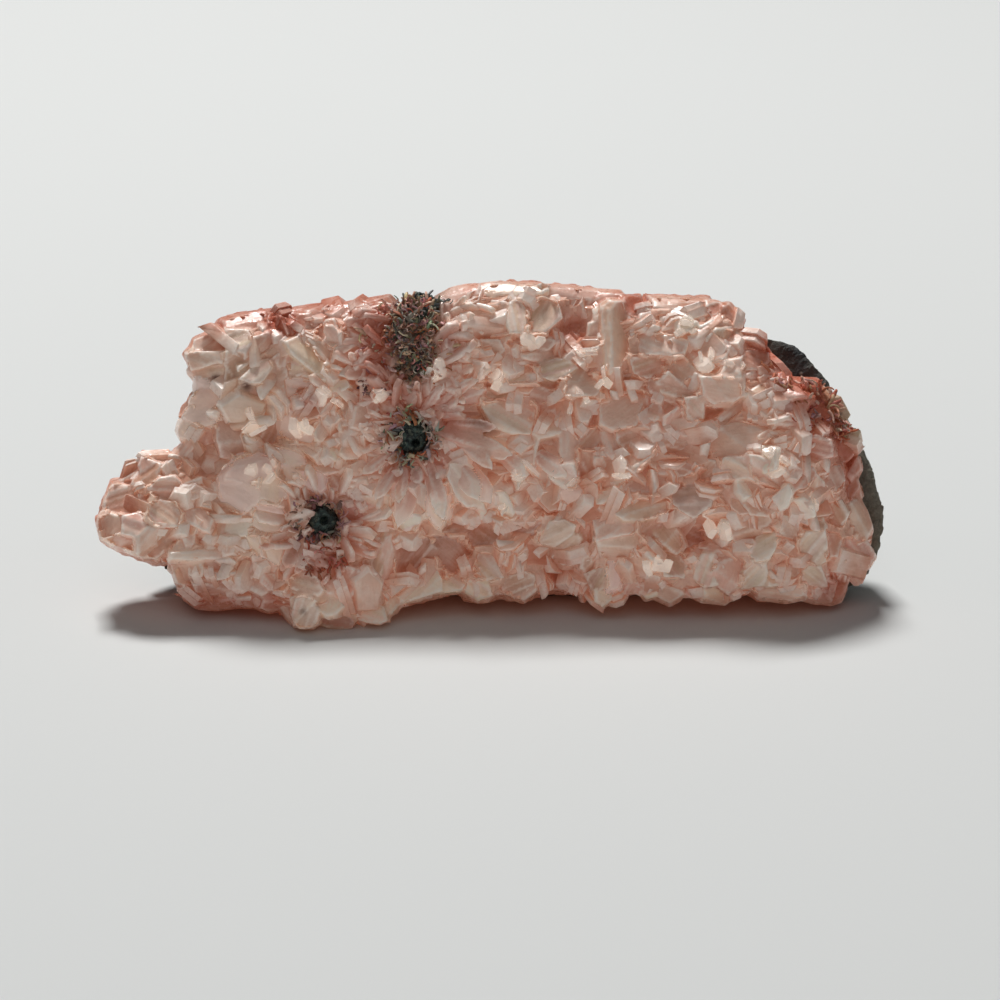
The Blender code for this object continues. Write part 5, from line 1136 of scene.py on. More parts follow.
ground = copy_of_solid("heulandite_crust", "crust_ground")
even_grain(ground, GROUND_GRAIN * MM)
outward = [vert.normal.copy() for vert in ground.data.vertices]
spots = []
below_face = kdtree.KDTree(len(outward))
for number, (vert, way) in enumerate(zip(ground.data.vertices, outward)):
    spot = to_face @ vert.co
    fibres = noise.noise(Vector((spot.x * FIBRES_ACROSS, spot.y * FIBRES_ACROSS, spot.z * FIBRES_ALONG)))
    lumps = noise.noise(spot * LUMPS)
    spot = to_face @ (vert.co + way * (fibres * FIBRE_HEIGHT + lumps * LUMP_HEIGHT) * MM)
    if rim_distance(round(spot.x), round(spot.y)) > FLAT_RIM:
        spot.z += GROUND_LIFT * max(0.0, (to_face.to_3x3() @ way).normalized().z)
    spots.append(spot)
    below_face.insert((spot.x, spot.y, 0), number)
below_face.balance()
for edge, planes in fronts_on_face:
    middle = middle_of(edge)
    reach = max((Vector((x, y, 0)) - middle).length for x, y in edge)
    for place, number, distance in below_face.find_range(middle, reach):
        if inside(place.x, place.y, edge):
            top = front_height(place.x, place.y, planes) - CLEAR_OF_FRONT
            spots[number].z = min(spots[number].z, top)
colours = []
for vert, spot in zip(ground.data.vertices, spots):
    vert.co = from_face @ spot
    above = spot.z - crust_height(round(spot.x), round(spot.y))
    # Darker with painted shade where the ground lies low between the crystals, and redder deeper in
    colours.append((*stained(ground_colour(spot), spot.x, spot.y, above), 0.0))
paint(ground.data, colours)
finish_piece(ground, heulandite, "heulandite", "heulandite_crust")

# Druse
# Small tablets, blades and spears of heulandite that fill the space between the large crystals and
# stand out of the crust at all angles. The real ones grew there in hundreds, crossing each other.

# Outlines of small tablets with the tip up, their thickness, and how many grow side by side
TABLETS = [
    ([(-1.2, -2.6), (1.2, -2.6), (1.5, 0.4), (0.6, 2.0), (-0.5, 2.1), (-1.4, 0.8)], 0.9, 2),
    ([(-0.8, -2.6), (0.8, -2.6), (0.9, 1.2), (0.3, 2.4), (-0.7, 1.6)], 0.8, 2),
    ([(-1.3, -2.6), (1.3, -2.6), (1.4, 1.3), (-1.3, 1.5)], 0.8, 2),
    ([(-1.0, -2.6), (1.2, -2.6), (1.7, 0.2), (0.1, 1.9), (-1.5, 0.6)], 1.2, 1),
    ([(-0.7, -2.6), (0.7, -2.6), (0.85, 1.0), (0.1, 2.8), (-0.7, 1.2)], 1.0, 1),
    ([(-1.5, -2.0), (0.9, -2.6), (1.6, 0.9), (0.7, 1.7), (-1.1, 1.1)], 0.8, 2),
    ([(-1.0, -2.6), (1.1, -2.4), (1.0, 1.8), (-0.2, 2.0), (-1.1, 1.0)], 1.1, 1),
    ([(-1.1, -2.6), (1.1, -2.6), (1.2, 1.0), (0.0, 2.2), (-1.2, 1.0)], 0.75, 2),
]
TABLET_BORDER = 0.14
TABLET_BEVEL = 0.07
ROUNDED = 0.07
FACE_REACH = (60, 28)
DRUSE_SPACING = 1.65
DRUSE_SHOW = 1.0
DRUSE_INSIDE_RIM, DRUSE_BESIDE_CORES = 0.4, 3.0
DRUSE_SIZES, DRUSE_LEANS, DRUSE_TURN = (0.7, 1.45), (30, 78), 40
ROOT_SUNK = 1.3
REACH_OF_TIP = 2.0
DEEP_HOLLOW, HOLLOWS_INSIDE_RIM, BARE_HOLLOWS = -2.2, 2.5, 0.8
# From the rim inwards the druse rises, and its crystals lean more freely
RIM_FADE, RIM_LEAN = (0.5, 4.0), 0.35
# A book's tablets: how narrow and how short they may be, how far aside, how close and how tilted
BOOK_WIDTHS, BOOK_LENGTHS, BOOK_ASIDE, BOOK_PITCH, BOOK_TILT = (0.86, 1.0), (0.82, 1.0), 0.1, 0.92, 0.06
# Noise waves a millimetre that turn the crystals, and by how many degrees
WIDE_DRIFT, LOCAL_DRIFT = (0.07, 420), (0.3, 80)
PALE_PATCHES, PALE_SHARES = 0.11, (0.2, 1.0)
BEIGE_LEFT, BEIGE_SHARE = (20, 36), 0.7
# Middles of the green cores on the face. The middle and the lower one have a round pit.
CORES = {"top": (-11.2, 22.6), "upper": (-11.4, 14.8), "middle": (-11.7, 2.6), "lower": (-25.4, -9.0)}
PITS = ("middle", "lower")
CLEAR_OF_CORE = 3.3
CLEAR_OF_PIT = 2.4
UPPER_CORES_AT = -12.2
UPPER_CORES_FROM = 12.5


def mark(item, line_at, on_rim):
    """Lay the surface lines of a small crystal as a UV map, and store which vertices lie on its rim."""
    lines = item.data.uv_layers.active
    lines.name = "striae"
    for loop, spot in zip(item.data.loops, lines.uv):
        spot.vector = line_at(item.data.vertices[loop.vertex_index].co)
    rim = item.data.attributes.new("rim", "FLOAT", "POINT")
    rim.data.foreach_set("value", [float(on_rim(vert.co)) for vert in item.data.vertices])


def rounded(shape):
    """Round the edges of a small crystal a little."""
    select_only(shape)
    apply_modifier(shape, "rounded", "BEVEL", width=ROUNDED, segments=1)


def tablet(edge, thickness):
    """A small tablet standing on its root, its tip up, with bevelled faces."""
    block_cut_by(edge, OUT * (thickness / 2), OUT, thickness, WALL_FLARES)
    slice_off(-OUT * (thickness / 2), -OUT)
    select_facing([OUT, -OUT], 0.99)
    bpy.ops.mesh.inset(
        thickness=TABLET_BORDER, depth=TABLET_BEVEL, use_individual=True, use_even_offset=False)
    score(Vector((0, -0.6, 0)), Vector((0, 1, 0)))
    bpy.ops.object.mode_set(mode="OBJECT")
    item = bpy.context.object
    half = thickness / 2 + 0.02
    mark(
        item, lambda place: (place.y * LINES_ALONG, (place.x + place.z) * LINES_ACROSS),
        lambda place: abs(place.z) < half and place.y > -0.5)
    item.data.transform(Matrix.Rotation(math.radians(90), 4, "X"))
    return item


def book(edge, thickness, plates):
    """Tablets grown side by side, each a little shorter or longer than the next."""
    items = []
    for number in range(plates):
        narrow, short = chance.uniform(*BOOK_WIDTHS), chance.uniform(*BOOK_LENGTHS)
        item = tablet([(x * narrow, y * short if y > 0 else y) for x, y in edge], thickness)
        aside = chance.uniform(-BOOK_ASIDE, BOOK_ASIDE)
        aside = Vector((aside, (number - plates / 2) * thickness * BOOK_PITCH, 0))
        tilt = Matrix.Rotation(chance.uniform(-BOOK_TILT, BOOK_TILT), 4, "X")
        item.data.transform(Matrix.Translation(aside) @ tilt)
        items.append(item)
    shape = join(items, "book")
    if plates == 1:
        rounded(shape)
        shape.data.shade_smooth()
    return shape


def plant(shape, place, colour_at, material=heulandite):
    """Copy a shape to a place of the face frame and colour each vertex."""
    item = bpy.data.objects.new("copy", shape.data.copy())
    bpy.context.scene.collection.objects.link(item)
    item.data.transform(place)
    mesh = item.data
    rim = mesh.attributes["rim"]
    paint(mesh, [(*colour_at(vert.co), near.value) for vert, near in zip(mesh.vertices, rim.data)])
    mesh.attributes.remove(rim)
    mesh.materials.append(material)
    return item


def root_at(spot, way, size, spin):
    """The place of a small crystal with its root at a spot, pointing one way."""
    turn = way.to_track_quat("Z", "Y").to_matrix().to_4x4()
    return Matrix.Translation(spot) @ turn @ Matrix.Rotation(spin, 4, "Z") @ Matrix.Scale(size, 4)


def tone_near(across, up):
    """The colour of the druse: salmon, more beige at the left, with patches of paler crystals."""
    pale = 0.5 + 0.5 * noise.noise(Vector((across * PALE_PATCHES, up * PALE_PATCHES, 3.0)))
    colour = mixed(TONES["salmon"], TONES["beige"], BEIGE_SHARE * share_of(-across, *BEIGE_LEFT))
    return mixed(colour, TONES["pale"], pale * chance.uniform(*PALE_SHARES))


def drift(across, up):
    """The way that small crystals lean at a place, in degrees. It turns slowly over the face."""
    turns = [
        noise.noise(Vector((across * waves, up * waves, layer))) * degrees
        for (waves, degrees), layer in ((WIDE_DRIFT, 7.0), (LOCAL_DRIFT, 1.0))]
    return sum(turns)


def from_cores(place, names=tuple(CORES)):
    """Distance on the face from a place to the nearest of these cores."""
    return min(math.dist(place, CORES[name]) for name in names)


def beside_upper_cores(across, up, reach):
    return abs(across - UPPER_CORES_AT) < reach and up > UPPER_CORES_FROM


def tooth(across, up, out, way, size, base):
    """A tablet with its root at a place, coloured from its tip down."""
    spot = Vector((across, up, out))
    level = crust_height(across, up)

    def colour_at(point):
        return stained(base, point.x, point.y, point.z - level)

    return plant(chance.choice(tablets), root_at(spot, way, size, chance.uniform(0, math.tau)), colour_at)


tablets = [book(*sizes) for sizes in TABLETS]
druse_parts = []
columns, rows = [round(reach / DRUSE_SPACING) for reach in FACE_REACH]
for column in range(-columns, columns + 1):
    for row in range(-rows, rows + 1):
        across = (column + chance.uniform(-0.5, 0.5)) * DRUSE_SPACING
        up = (row + chance.uniform(-0.5, 0.5)) * DRUSE_SPACING
        from_rim = rim_distance(across, up)
        if not inside(across, up, CRUST_OUTLINE) or from_rim < DRUSE_INSIDE_RIM:
            continue
        if from_cores((across, up)) < CLEAR_OF_CORE or beside_upper_cores(across, up, DRUSE_BESIDE_CORES):
            continue
        if any(inside(across, up, edge) for edge, planes in fronts_on_face):
            continue
        level = crust_height(across, up)
        if level < DEEP_HOLLOW and from_rim > HOLLOWS_INSIDE_RIM and chance.random() < BARE_HOLLOWS:
            continue
        size = chance.uniform(*DRUSE_SIZES)
        rim = share_of(from_rim, *RIM_FADE)
        lean = chance.uniform(*DRUSE_LEANS) * (RIM_LEAN + (1 - RIM_LEAN) * rim)
        way = leaning(drift(across, up) + chance.uniform(-DRUSE_TURN, DRUSE_TURN), lean)
        out = level + DRUSE_SHOW * rim - size * ROOT_SUNK * math.cos(math.radians(lean))
        tip = Vector((across, up, out)) + way * size * REACH_OF_TIP
        if from_cores(tip.xy) < CLEAR_OF_PIT:
            continue
        druse_parts.append(tooth(across, up, out, way, size, tone_near(across, up)))
set_on_crust(join(druse_parts, "druse"))

# Edge crystals
# Blades that stand out of the lower edge and of the left end, where the crust was broken through and
# the tips of its crystals make a jagged line. They are pale, and redder towards the rock.

EDGE_SPACING = 1.5
EDGE_LEVELS = (-1.2, -3.4, -6.0)
EDGE_SIZES, EDGE_LEANS, EDGE_TURN, EDGE_JUMP = (0.6, 1.2), (50, 90), 30, 0.8
EDGE_ROOT = 2.2
# Above this height and right of this place the edge of the crust is a clean break
CLEAN_TOP = 8.0
CLEAN_RIGHT = 49.0

edge_parts = []
for (x0, y0), (x1, y1) in zip(CRUST_OUTLINE, CRUST_OUTLINE[1:] + CRUST_OUTLINE[:1]):
    start, along = Vector((x0, y0)), Vector((x1 - x0, y1 - y0))
    outwards = math.degrees(math.atan2(along.x, -along.y))
    for number in range(max(1, round(along.length / EDGE_SPACING))):
        spot = start + along * chance.random()
        if spot.y > CLEAN_TOP or spot.x > CLEAN_RIGHT:
            continue
        for level in EDGE_LEVELS:
            size = chance.uniform(*EDGE_SIZES)
            way = leaning(outwards + chance.uniform(-EDGE_TURN, EDGE_TURN), chance.uniform(*EDGE_LEANS))
            root = spot - way.xy.normalized() * size * EDGE_ROOT
            out = level + chance.uniform(-EDGE_JUMP, EDGE_JUMP) + crust_height(spot.x, spot.y) * 0.5
            edge_parts.append(tooth(root.x, root.y, out, way, size, tone_near(spot.x, spot.y)))
set_on_crust(join(edge_parts, "edge_crystals"))

# Sprays
# Thin, ridged petals of heulandite that radiate from the green cores and through the fracture at the
# right. They are pale at the tip, partly with a painted highlight, and darker at the root with painted
# shade, where they grew from the core, and stained red to brown near the cores.

# Each row: centre, inner and outer radius, first and last angle in degrees, how many, length, how
# steeply they stand, and the tone of their tips
SPRAYS = [
    ((-12.3, 3.4), 3.0, 4.8, 0, 360, 34, 2.8, 34, "tan"),
    ((-12.3, 3.4), 4.4, 7.0, 20, 240, 34, 4.2, 22, "pale"),
    ((-12.3, 3.4), 6.5, 9.5, 60, 250, 26, 4.8, 14, "pale"),
    ((-12.0, 14.9), 4.0, 7.4, -50, 50, 26, 5.0, 16, "pale"),
    ((-12.0, 14.9), 4.0, 7.4, 130, 230, 26, 4.8, 16, "rose"),
    ((-11.2, 21.0), 4.2, 7.8, 150, 215, 20, 4.4, 16, "rose"),
    ((-11.2, 21.0), 4.2, 8.0, -45, 20, 20, 4.4, 16, "pale"),
    ((-26.0, -9.3), 2.6, 4.4, 0, 360, 34, 2.8, 28, "mauve"),
    ((-26.0, -9.3), 4.0, 7.0, 200, 350, 26, 4.2, 18, "rust"),
    ((-26.0, -9.3), 4.4, 7.4, -20, 180, 24, 4.4, 16, "pale"),
    ((-21.5, 11.0), 1.0, 6.5, 60, 300, 34, 4.4, 18, "pale"),
    ((50.5, 7.6), 1.0, 5.5, 120, 290, 60, 2.8, 24, "rust"),
    ((50.5, 7.6), 5.0, 9.5, 150, 250, 40, 3.8, 16, "pale"),
    ((42.5, 15.0), 0.8, 3.4, 130, 300, 30, 2.6, 24, "rust"),
    ((52.0, -19.0), 0.8, 3.2, 40, 200, 24, 2.4, 24, "rose"),
    ((-32.0, 24.5), 1.0, 4.4, 200, 340, 26, 2.8, 22, "rose"),
    ((-21.0, 24.5), 0.6, 4.0, 200, 340, 26, 2.8, 22, "pale"),
]
# Width and thickness of each petal, and how far it bends in degrees
PETALS = [(1.9, 0.8, 22), (1.4, 0.7, 38), (2.3, 0.8, 10), (1.6, 0.7, -22)]
PETAL_LENGTH = 4.0
PETAL_TAPER = math.radians(7)
PETAL_LINES_ACROSS = 3.0
SPRAY_SIZES, SPRAY_TURN, SPRAY_TILT, SPRAY_LIFT, SPRAY_SPIN = (0.55, 1.15), 28, 16, 1.0, 1.3
SALMON_SHARE, SPRAYS_BESIDE_CORES = 0.4, 3.2


def petal(width, thickness, bend, cuts):
    """A long thin petal from the origin up along Z, with a ridge and a blunt tip, bent forwards."""
    length = PETAL_LENGTH
    bpy.ops.mesh.primitive_cube_add(size=1, location=OUT * (length / 2), scale=(width, thickness, length))
    bpy.ops.object.transform_apply()
    bpy.ops.object.mode_set(mode="EDIT")
    for way in (-1, 1):
        slice_off(Vector((way * width * 0.15, thickness / 2, 0)), Vector((way * 0.4, 1, 0)).normalized())
        taper = Vector((way * math.cos(PETAL_TAPER), 0, math.sin(PETAL_TAPER)))
        slice_off(Vector((way * width * 0.5, 0, length * 0.35)), taper)
        slice_off(Vector((0, 0, length)), Vector((way * 0.8, 0, 0.9)).normalized())
    for cut in range(1, cuts):
        score(OUT * (length * cut / cuts), OUT)
    bpy.ops.object.mode_set(mode="OBJECT")
    item = bpy.context.object
    apply_modifier(item, "bend", "SIMPLE_DEFORM", deform_method="BEND", deform_axis="X",
                   angle=math.radians(bend))
    mark(
        item, lambda place: (place.z * LINES_ALONG, place.x * PETAL_LINES_ACROSS),
        lambda place: abs(place.x) > width * 0.3 and place.z > 0.5)
    item.data.shade_smooth()
    return item


petals = [petal(*sizes, cuts=5) for sizes in PETALS]
for shape in petals:
    rounded(shape)
spray_parts = []
for centre, inner, outer, first, last, count, length, stand, tip_tone in SPRAYS:
    for number in range(count):
        angle = math.radians(first + (last - first) * (number + chance.uniform(-0.4, 0.4)) / count)
        radius = chance.uniform(inner, outer)
        across, up = centre[0] + radius * math.cos(angle), centre[1] + radius * math.sin(angle)
        if not inside(across, up, CRUST_OUTLINE) or beside_upper_cores(across, up, SPRAYS_BESIDE_CORES):
            continue
        towards = math.degrees(angle) + chance.uniform(-SPRAY_TURN, SPRAY_TURN)
        way = leaning(towards, 90 - stand + chance.uniform(-SPRAY_TILT, SPRAY_TILT))
        spot = Vector((across, up, crust_height(across, up) + chance.uniform(0.0, SPRAY_LIFT)))
        size = length / PETAL_LENGTH * chance.uniform(*SPRAY_SIZES)
        tip = spot + way * size * PETAL_LENGTH
        over_core = from_cores(tip.xy) < CLEAR_OF_PIT
        if over_core or tip.y > CLEAN_TOP and not inside(tip.x, tip.y, CRUST_OUTLINE):
            continue
        base = mixed(TONES[tip_tone], TONES["salmon"], chance.uniform(0.0, SALMON_SHARE))

        def colour_at(point):
            reached = (point - spot).length / (size * PETAL_LENGTH)
            # Painted shade at the root of the petal, fading out towards its tip
            colour = mixed(HOLLOW_SHADE, base, min(1.0, 0.2 + reached))
            return stained(colour, point.x, point.y, 1.0 + 2.0 * reached)

        place = root_at(spot, way, size, chance.uniform(-SPRAY_SPIN, SPRAY_SPIN))
        spray_parts.append(plant(chance.choice(petals), place, colour_at))
set_on_crust(join(spray_parts, "sprays"))

# Great petals
# The broad pointed petals that spray from the middle core, down to the right and up to both sides. Each
# is a ridged blade of heulandite, salmon at its root and white to clear at its tip, grown from the core.

# Each row: root, height over the crust, direction in degrees, length, width, how steeply it stands,
# and the tone of its tip
GREAT_PETALS = [
    ((-7.8, 4.4), 0.8, -19, 12.4, 2.9, 10, "pale"), ((-7.2, 0.8), 0.4, -52, 9.6, 3.0, 20, "white"),
    ((-9.6, -1.2), 0.9, -73, 8.8, 2.9, 22, "white"), ((-12.2, -2.4), 0.2, -104, 8.2, 3.1, 14, "clear"),
    ((-3.4, -1.4), 0.9, -58, 7.0, 2.7, 30, "clear"), ((1.4, 0.8), 0.4, -40, 5.6, 2.9, 28, "white"),
    ((7.0, 0.4), 0.8, -35, 5.4, 3.0, 24, "white"), ((-9.4, 6.4), 0.6, 18, 6.0, 1.7, 16, "white"),
    ((-7.8, 8.6), 1.2, 36, 7.4, 1.8, 14, "pale"), ((-10.4, 7.6), 0.8, 52, 5.6, 1.6, 24, "white"),
    ((-15.5, 1.0), 0.6, 218, 5.8, 1.9, 16, "pale"), ((-16.4, 4.6), 1.0, 170, 4.4, 1.6, 26, "pale"),
    ((-15.2, -1.8), 1.1, 240, 5.6, 2.0, 24, "pale"),
    ((-13.4, -1.8), 1.4, 262, 5.6, 1.9, 28, "cream"), ((-5.0, 2.8), 1.5, -38, 7.6, 2.2, 26, "pale"),
    ((-6.0, 5.6), 1.6, -6, 7.4, 2.0, 22, "rose"), ((-8.6, -3.0), 1.7, -88, 5.6, 2.1, 34, "white"),
]
LEAF = [(-0.3, -0.1), (0.3, -0.1), (0.5, 0.5), (0.4, 0.8), (0.06, 1.0), (-0.44, 0.7), (-0.5, 0.46)]
LEAF_THICKNESS, LEAF_RIDGE, RIDGE_OFFSET, LEAF_ROLL = 0.42, 0.45, 0.2, 0.4
TIP_SLOPE_FROM, TIP_SLOPE = 0.62, 0.3
TONE_REACH = (0.1, 0.85)


def great_petal(root, lift, angle, length, width, stand, tone):
    """One ridged, pointed petal in the face frame, with what its surface needs."""
    edge = [(x * width, y * length) for x, y in LEAF]
    thickness = width * LEAF_THICKNESS
    block_cut_by(edge, Vector((0, length * 0.5, thickness)), OUT, thickness, PLATE_FLARES)
    slice_off(Vector(), -OUT)
    aside = width * chance.uniform(-RIDGE_OFFSET, RIDGE_OFFSET)
    for way in (-1, 1):
        slice_off(Vector((aside, 0, thickness)), Vector((way * LEAF_RIDGE, 0, 1)).normalized())
    slice_off(Vector((0, length * TIP_SLOPE_FROM, thickness)), Vector((0, TIP_SLOPE, 1)).normalized())
    bpy.ops.object.mode_set(mode="OBJECT")
    item = bpy.context.object
    start = Vector((*root, crust_height(*root) + lift))
    turn = Matrix.Rotation(math.radians(angle - 90), 4, "Z") @ Matrix.Rotation(math.radians(stand), 4, "X")
    turn = turn @ Matrix.Rotation(chance.uniform(-LEAF_ROLL, LEAF_ROLL), 4, "Y")
    item.data.transform(Matrix.Translation(start) @ turn)
    axis = (turn @ Vector((0, 1, 0))).normalized()
    side = (turn @ Vector((1, 0, 0))).normalized()

    def colour_at(spot):
        reached = share_of((spot - start).dot(axis) / length, *TONE_REACH)
        return stained(mixed(TONES["rose"], TONES[tone], reached), spot.x, spot.y)

    return item, axis, side, chance.uniform(0, LINE_SHIFT), colour_at, tone == "clear"


grown_together("great_petals", [great_petal(*row) for row in GREAT_PETALS])

# Glint crystals
# Small clear blades and tablets with clean faces all over the piece, coloured near white as a painted
# glint where the faces catch the light. They are grown on top of the other crystals.

GLINT_CRYSTAL_PLACES = [
    (-17.4, 10.5), (-0.6, 12.7), (12.6, 9.0), (15.7, 12.6), (14.6, 15.8), (0.9, -6.0), (4.3, -1.8),
    (10.3, -2.3), (23.4, -14.4), (30.9, 15.6), (35.4, 13.8), (29.1, 19.8), (41.4, 0.8), (43.2, -1.0),
    (46.3, -7.8), (33.0, -9.0), (-32.4, -1.2), (-37.6, -2.6), (-24.4, 9.6), (-28.6, 6.4), (-36.4, 6.0),
    (-8.8, 12.6), (19.6, -1.6), (6.4, 17.8),
]
BRIGHT_LIFT = 2.6
BRIGHT_COUNT, BRIGHT_SPREAD, BRIGHT_TURN = 3, 1.6, 50
BRIGHT_LEANS, BRIGHT_SIZES = (30, 70), (0.3, 0.75)
PAINTED_GLINT_WHITE, MOST_PAINTED_GLINT_WHITE = (0.92, 0.88, 0.84), 0.6

glint_crystal_parts = []
for across, up in GLINT_CRYSTAL_PLACES:
    for number in range(BRIGHT_COUNT):
        place = [middle + chance.uniform(-BRIGHT_SPREAD, BRIGHT_SPREAD) for middle in (across, up)]
        way = leaning(
            drift(*place) + chance.uniform(-BRIGHT_TURN, BRIGHT_TURN), chance.uniform(*BRIGHT_LEANS))
        size = chance.uniform(*BRIGHT_SIZES)
        spot = Vector((*place, crust_height(*place) + BRIGHT_LIFT - size))
        # Near-white colour: a painted glint
        colour = mixed(TONES["white"], PAINTED_GLINT_WHITE, chance.random() * MOST_PAINTED_GLINT_WHITE)
        turned = root_at(spot, way, size, chance.uniform(0, math.tau))
        glint_crystal_parts.append(
            plant(chance.choice(tablets), turned, lambda point: colour, clear_heulandite))
set_on_crust(join(glint_crystal_parts, "glint_crystals"))

# Knots
# Thin curled fibres, red, green and brown, that knot together between the two upper cores, round the
# lower ones and in the fracture at the right. They are heulandite and celadonite grown through each other.

def fibre_finish():
    """Dull fibres, each in its own colour."""
    finish = Finish("stained_fibres")
    tone = finish.node("ShaderNodeAttribute", {"attribute_name": "tone"}, {}, "Color")
    grain = finish.noise(finish.place(), 1.8, 4.0, 0.6)
    return finish.done({
        "Base Color": finish.scaled(tone, grain * 1.1 + 0.5), "Roughness": grain * 0.5 + 0.4,
        "Normal": finish.bump(grain, 0.2 * MM),
    })


# Each row: centre, reach across and up, how many, length, and the colours that they are picked from
KNOTS = [
    ((-13.0, 17.5), 6.6, 7.0, 190, 2.2,
     [TONES["rose"], TONES["rust"], TONES["pale"], TONES["cream"], TONES["salmon"]]),
    ((-12.2, 18.8), 3.3, 5.0, 430, 1.9,
     [TONES["rust"], TONES["rose"], TONES["cream"], TONES["brown"], TONES["mauve"], (0.42, 0.39, 0.30),
      (0.28, 0.15, 0.11), (0.19, 0.20, 0.16)]),
    ((-10.8, 23.6), 3.8, 0.8, 60, 1.4, [(0.08, 0.10, 0.09), (0.14, 0.16, 0.14), (0.26, 0.27, 0.22)]),
    ((-12.0, 14.4), 2.6, 1.9, 80, 1.7, [(0.13, 0.13, 0.10), (0.26, 0.23, 0.16), (0.32, 0.17, 0.13)]),
    ((-12.6, 3.4), 4.2, 4.2, 190, 1.9,
     [(0.62, 0.56, 0.46), (0.50, 0.46, 0.37), (0.68, 0.54, 0.44), (0.22, 0.23, 0.19), TONES["rust"]]),
    ((-17.8, 11.0), 1.8, 1.2, 30, 1.7, [(0.14, 0.07, 0.07), TONES["mauve"]]),
    ((-26.0, -9.3), 3.8, 3.4, 190, 1.9,
     [TONES["mauve"], (0.28, 0.15, 0.13), (0.46, 0.32, 0.26), TONES["rose"]]),
    ((-25.6, -14.6), 3.0, 2.0, 70, 2.1, [TONES["rust"], TONES["brick"], TONES["rose"]]),
    ((50.2, 7.6), 4.4, 4.4, 150, 2.4, [TONES["rust"], TONES["rose"], TONES["salmon"], TONES["brick"]]),
    ((44.4, 13.4), 3.4, 2.0, 60, 2.2, [TONES["rust"], TONES["rose"], TONES["salmon"]]),
    ((53.8, 6.6), 1.4, 2.6, 40, 1.7, [(0.42, 0.38, 0.22), (0.31, 0.29, 0.18), (0.52, 0.46, 0.31)]),
]
CORE_CLEAR = 1.9
KNOTS_INSIDE_RIM = 0.6
CURLS = [(0.9, 0.4, 70), (0.7, 0.35, 105), (1.3, 0.4, -55)]
CURL_TURN, CURL_LEANS, CURL_LIFTS, CURL_SIZES, CURL_SPIN = 90, (60, 95), (0.5, 2.0), (0.7, 1.2), 1.2
CURL_HUES = (0.8, 1.2)

fibres = fibre_finish()
curls = [petal(*sizes, cuts=4) for sizes in CURLS]
knot_parts = []
for centre, reach_across, reach_up, count, length, hues in KNOTS:
    for number in range(count):
        angle, share = chance.uniform(0, math.tau), math.sqrt(chance.random())
        across = centre[0] + reach_across * share * math.cos(angle)
        up = centre[1] + reach_up * share * math.sin(angle)
        if not inside(across, up, CRUST_OUTLINE) or rim_distance(across, up) < KNOTS_INSIDE_RIM:
            continue
        if from_cores((across, up), PITS) < CORE_CLEAR:
            continue
        way = leaning(
            math.degrees(angle) + chance.uniform(-CURL_TURN, CURL_TURN), chance.uniform(*CURL_LEANS))
        spot = Vector((across, up, crust_height(across, up) + chance.uniform(*CURL_LIFTS)))
        hue = [part * chance.uniform(*CURL_HUES) for part in chance.choice(hues)]
        size = length / PETAL_LENGTH * chance.uniform(*CURL_SIZES)
        place = root_at(spot, way, size, chance.uniform(-CURL_SPIN, CURL_SPIN))
        knot_parts.append(plant(chance.choice(curls), place, lambda point: hue, fibres))
set_on_crust(join(knot_parts, "core_knots"))
for shape in tablets + petals + curls:
    bpy.data.objects.remove(shape)

# Cores
# Lumps of dark green celadonite and altered basalt that the crystals grew round. They are earthy and
# spongy and stand a little out of the crust, and the middle and the lower one have a small round pit.

CORE_GRAIN = 0.22
CORE_LUMPS = [(1.6, 1.0), (0.6, 0.7)]
CORE_SHOW = 1.7
PIT_REACH = 0.7
PIT_DEPTH = 1.6


def celadonite_finish():
    """Blue-green to black, earthy, with a grey-green bloom."""
    black, blue_green, grey_green = (0.035, 0.045, 0.045, 1), (0.10, 0.15, 0.135, 1), (0.30, 0.33, 0.25, 1)
    finish = Finish("celadonite")
    place = finish.place()
    patches = finish.noise(place, 0.9, 4.0)
    colour = finish.blend(finish.step(patches, 0.42, 0.58), black, blue_green)
    bloom = finish.step(finish.noise(place, 1.3, 4.0, 0.7), 0.5, 0.64)
    colour = finish.blend(bloom * 0.7, colour, grey_green)
    grain = finish.noise(place, 2.4, 5.0, 0.7)
    return finish.done({
        "Base Color": colour, "Roughness": grain * 0.3 + 0.6, "Normal": finish.bump(grain, 0.6 * MM),
    })


celadonite = celadonite_finish()
for level, middle in CORES.items():
    core = copy_of_solid("celadonite_core_" + level, "core_" + level)
    even_grain(core, CORE_GRAIN * MM)
    for vert in core.data.vertices:
        spot = to_face @ vert.co
        spot.z = min(spot.z, crust_height(spot.x, spot.y) + CORE_SHOW)
        vert.co = from_face @ spot
    roughen(core, CORE_LUMPS)
    for vert in core.data.vertices:
        spot = to_face @ vert.co
        away = (spot.xy - Vector(middle)).length
        if level in PITS and away < PIT_REACH and spot.z > crust_height(*middle) - 1.0:
            spot.z -= PIT_DEPTH * (1 - (away / PIT_REACH) ** 4)
            vert.co = from_face @ spot
    finish_piece(core, celadonite, "celadonite", "celadonite_core_" + level)


# Studio
# White paper under and behind the specimen, a softbox above and behind it, a weak wide light in front,
# and small ones that glint on the crystal faces. The camera looks straight at the face, 20 degrees down.

# Millimetres of the face frame
CAMERA_DISTANCE = 500.0
PHOTO_WIDTH = 150.0
AIM = (0.9, -6.0)
# Metres
FLOOR_SIZE = 6.0
LIT_PLACE = (0, -0.01, 0.025)
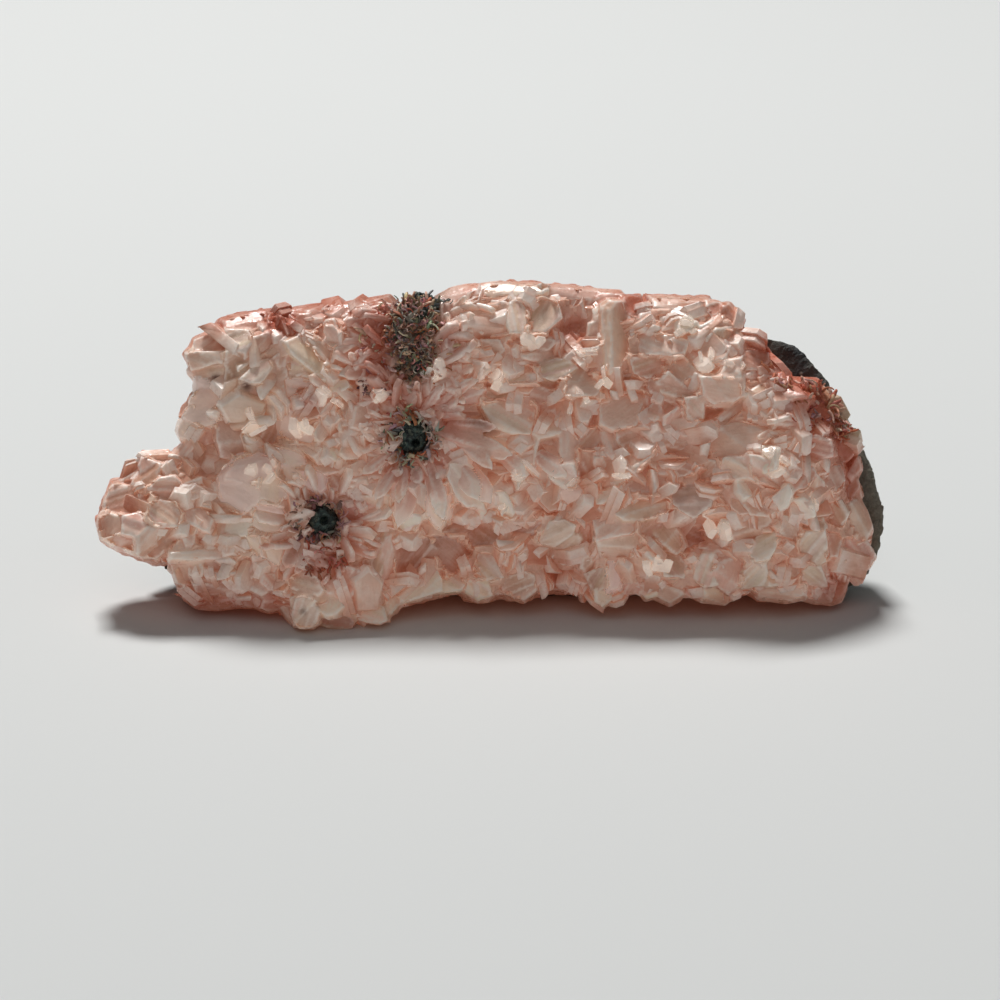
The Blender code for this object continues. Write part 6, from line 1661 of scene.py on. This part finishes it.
# Each row: name, place, size, watts and colour
SOFT_LIGHTS = [
    ("softbox", (-0.2, 0.6, 1.4), 0.35, 23, (1.0, 0.99, 0.97)),
    ("front_fill", (0.0, -0.9, 1.0), 0.9, 1.0, (0.98, 0.99, 1.0)),
]
GLINT_SIZE, GLINT_WATTS, WHITE = 0.016, 0.035, (1.0, 1.0, 1.0)
GLINT_PLACES = [
    (-0.3, -0.35, 0.6), (0.35, -0.25, 0.6), (-0.05, -0.45, 0.65), (-0.45, -0.1, 0.5), (0.05, -0.3, 0.7),
    (0.5, -0.05, 0.5), (-0.2, -0.15, 0.7),
]
ROOM_COLOUR, ROOM_STRENGTH = (0.93, 0.96, 1.0, 1), 0.05


def soft_light(name, place, size, watts, colour):
    light = bpy.data.lights.new(name, "AREA")
    light.size = size
    light.energy = watts
    light.color = colour
    lamp = bpy.data.objects.new(name, light)
    bpy.context.scene.collection.objects.link(lamp)
    lamp.location = place
    lamp.rotation_euler = (Vector(LIT_PLACE) - Vector(place)).to_track_quat("-Z", "Y").to_euler()


bpy.ops.mesh.primitive_plane_add(size=FLOOR_SIZE)
floor = bpy.context.object
floor.name = "paper_floor"
paper = Finish("paper")
floor.data.materials.append(paper.done({"Base Color": (0.69, 0.705, 0.705, 1), "Roughness": 0.9}))

for row in SOFT_LIGHTS:
    soft_light(*row)
for number, place in enumerate(GLINT_PLACES):
    soft_light("glint_%d" % number, place, GLINT_SIZE, GLINT_WATTS, WHITE)

world = bpy.data.worlds.new("room")
world.use_nodes = True
background = world.node_tree.nodes["Background"].inputs
background["Color"].default_value = ROOM_COLOUR
background["Strength"].default_value = ROOM_STRENGTH
bpy.context.scene.world = world

lens = bpy.data.cameras.new("camera")
lens.angle = 2 * math.atan(PHOTO_WIDTH / 2 / CAMERA_DISTANCE)
lens.clip_start = 0.01
camera = bpy.data.objects.new("camera", lens)
bpy.context.scene.collection.objects.link(camera)
camera.location = from_face @ Vector((*AIM, CAMERA_DISTANCE))
camera.rotation_euler = (FACE_TURN, 0, 0)
bpy.context.scene.camera = camera
bpy.context.scene.view_settings.view_transform = "Standard"
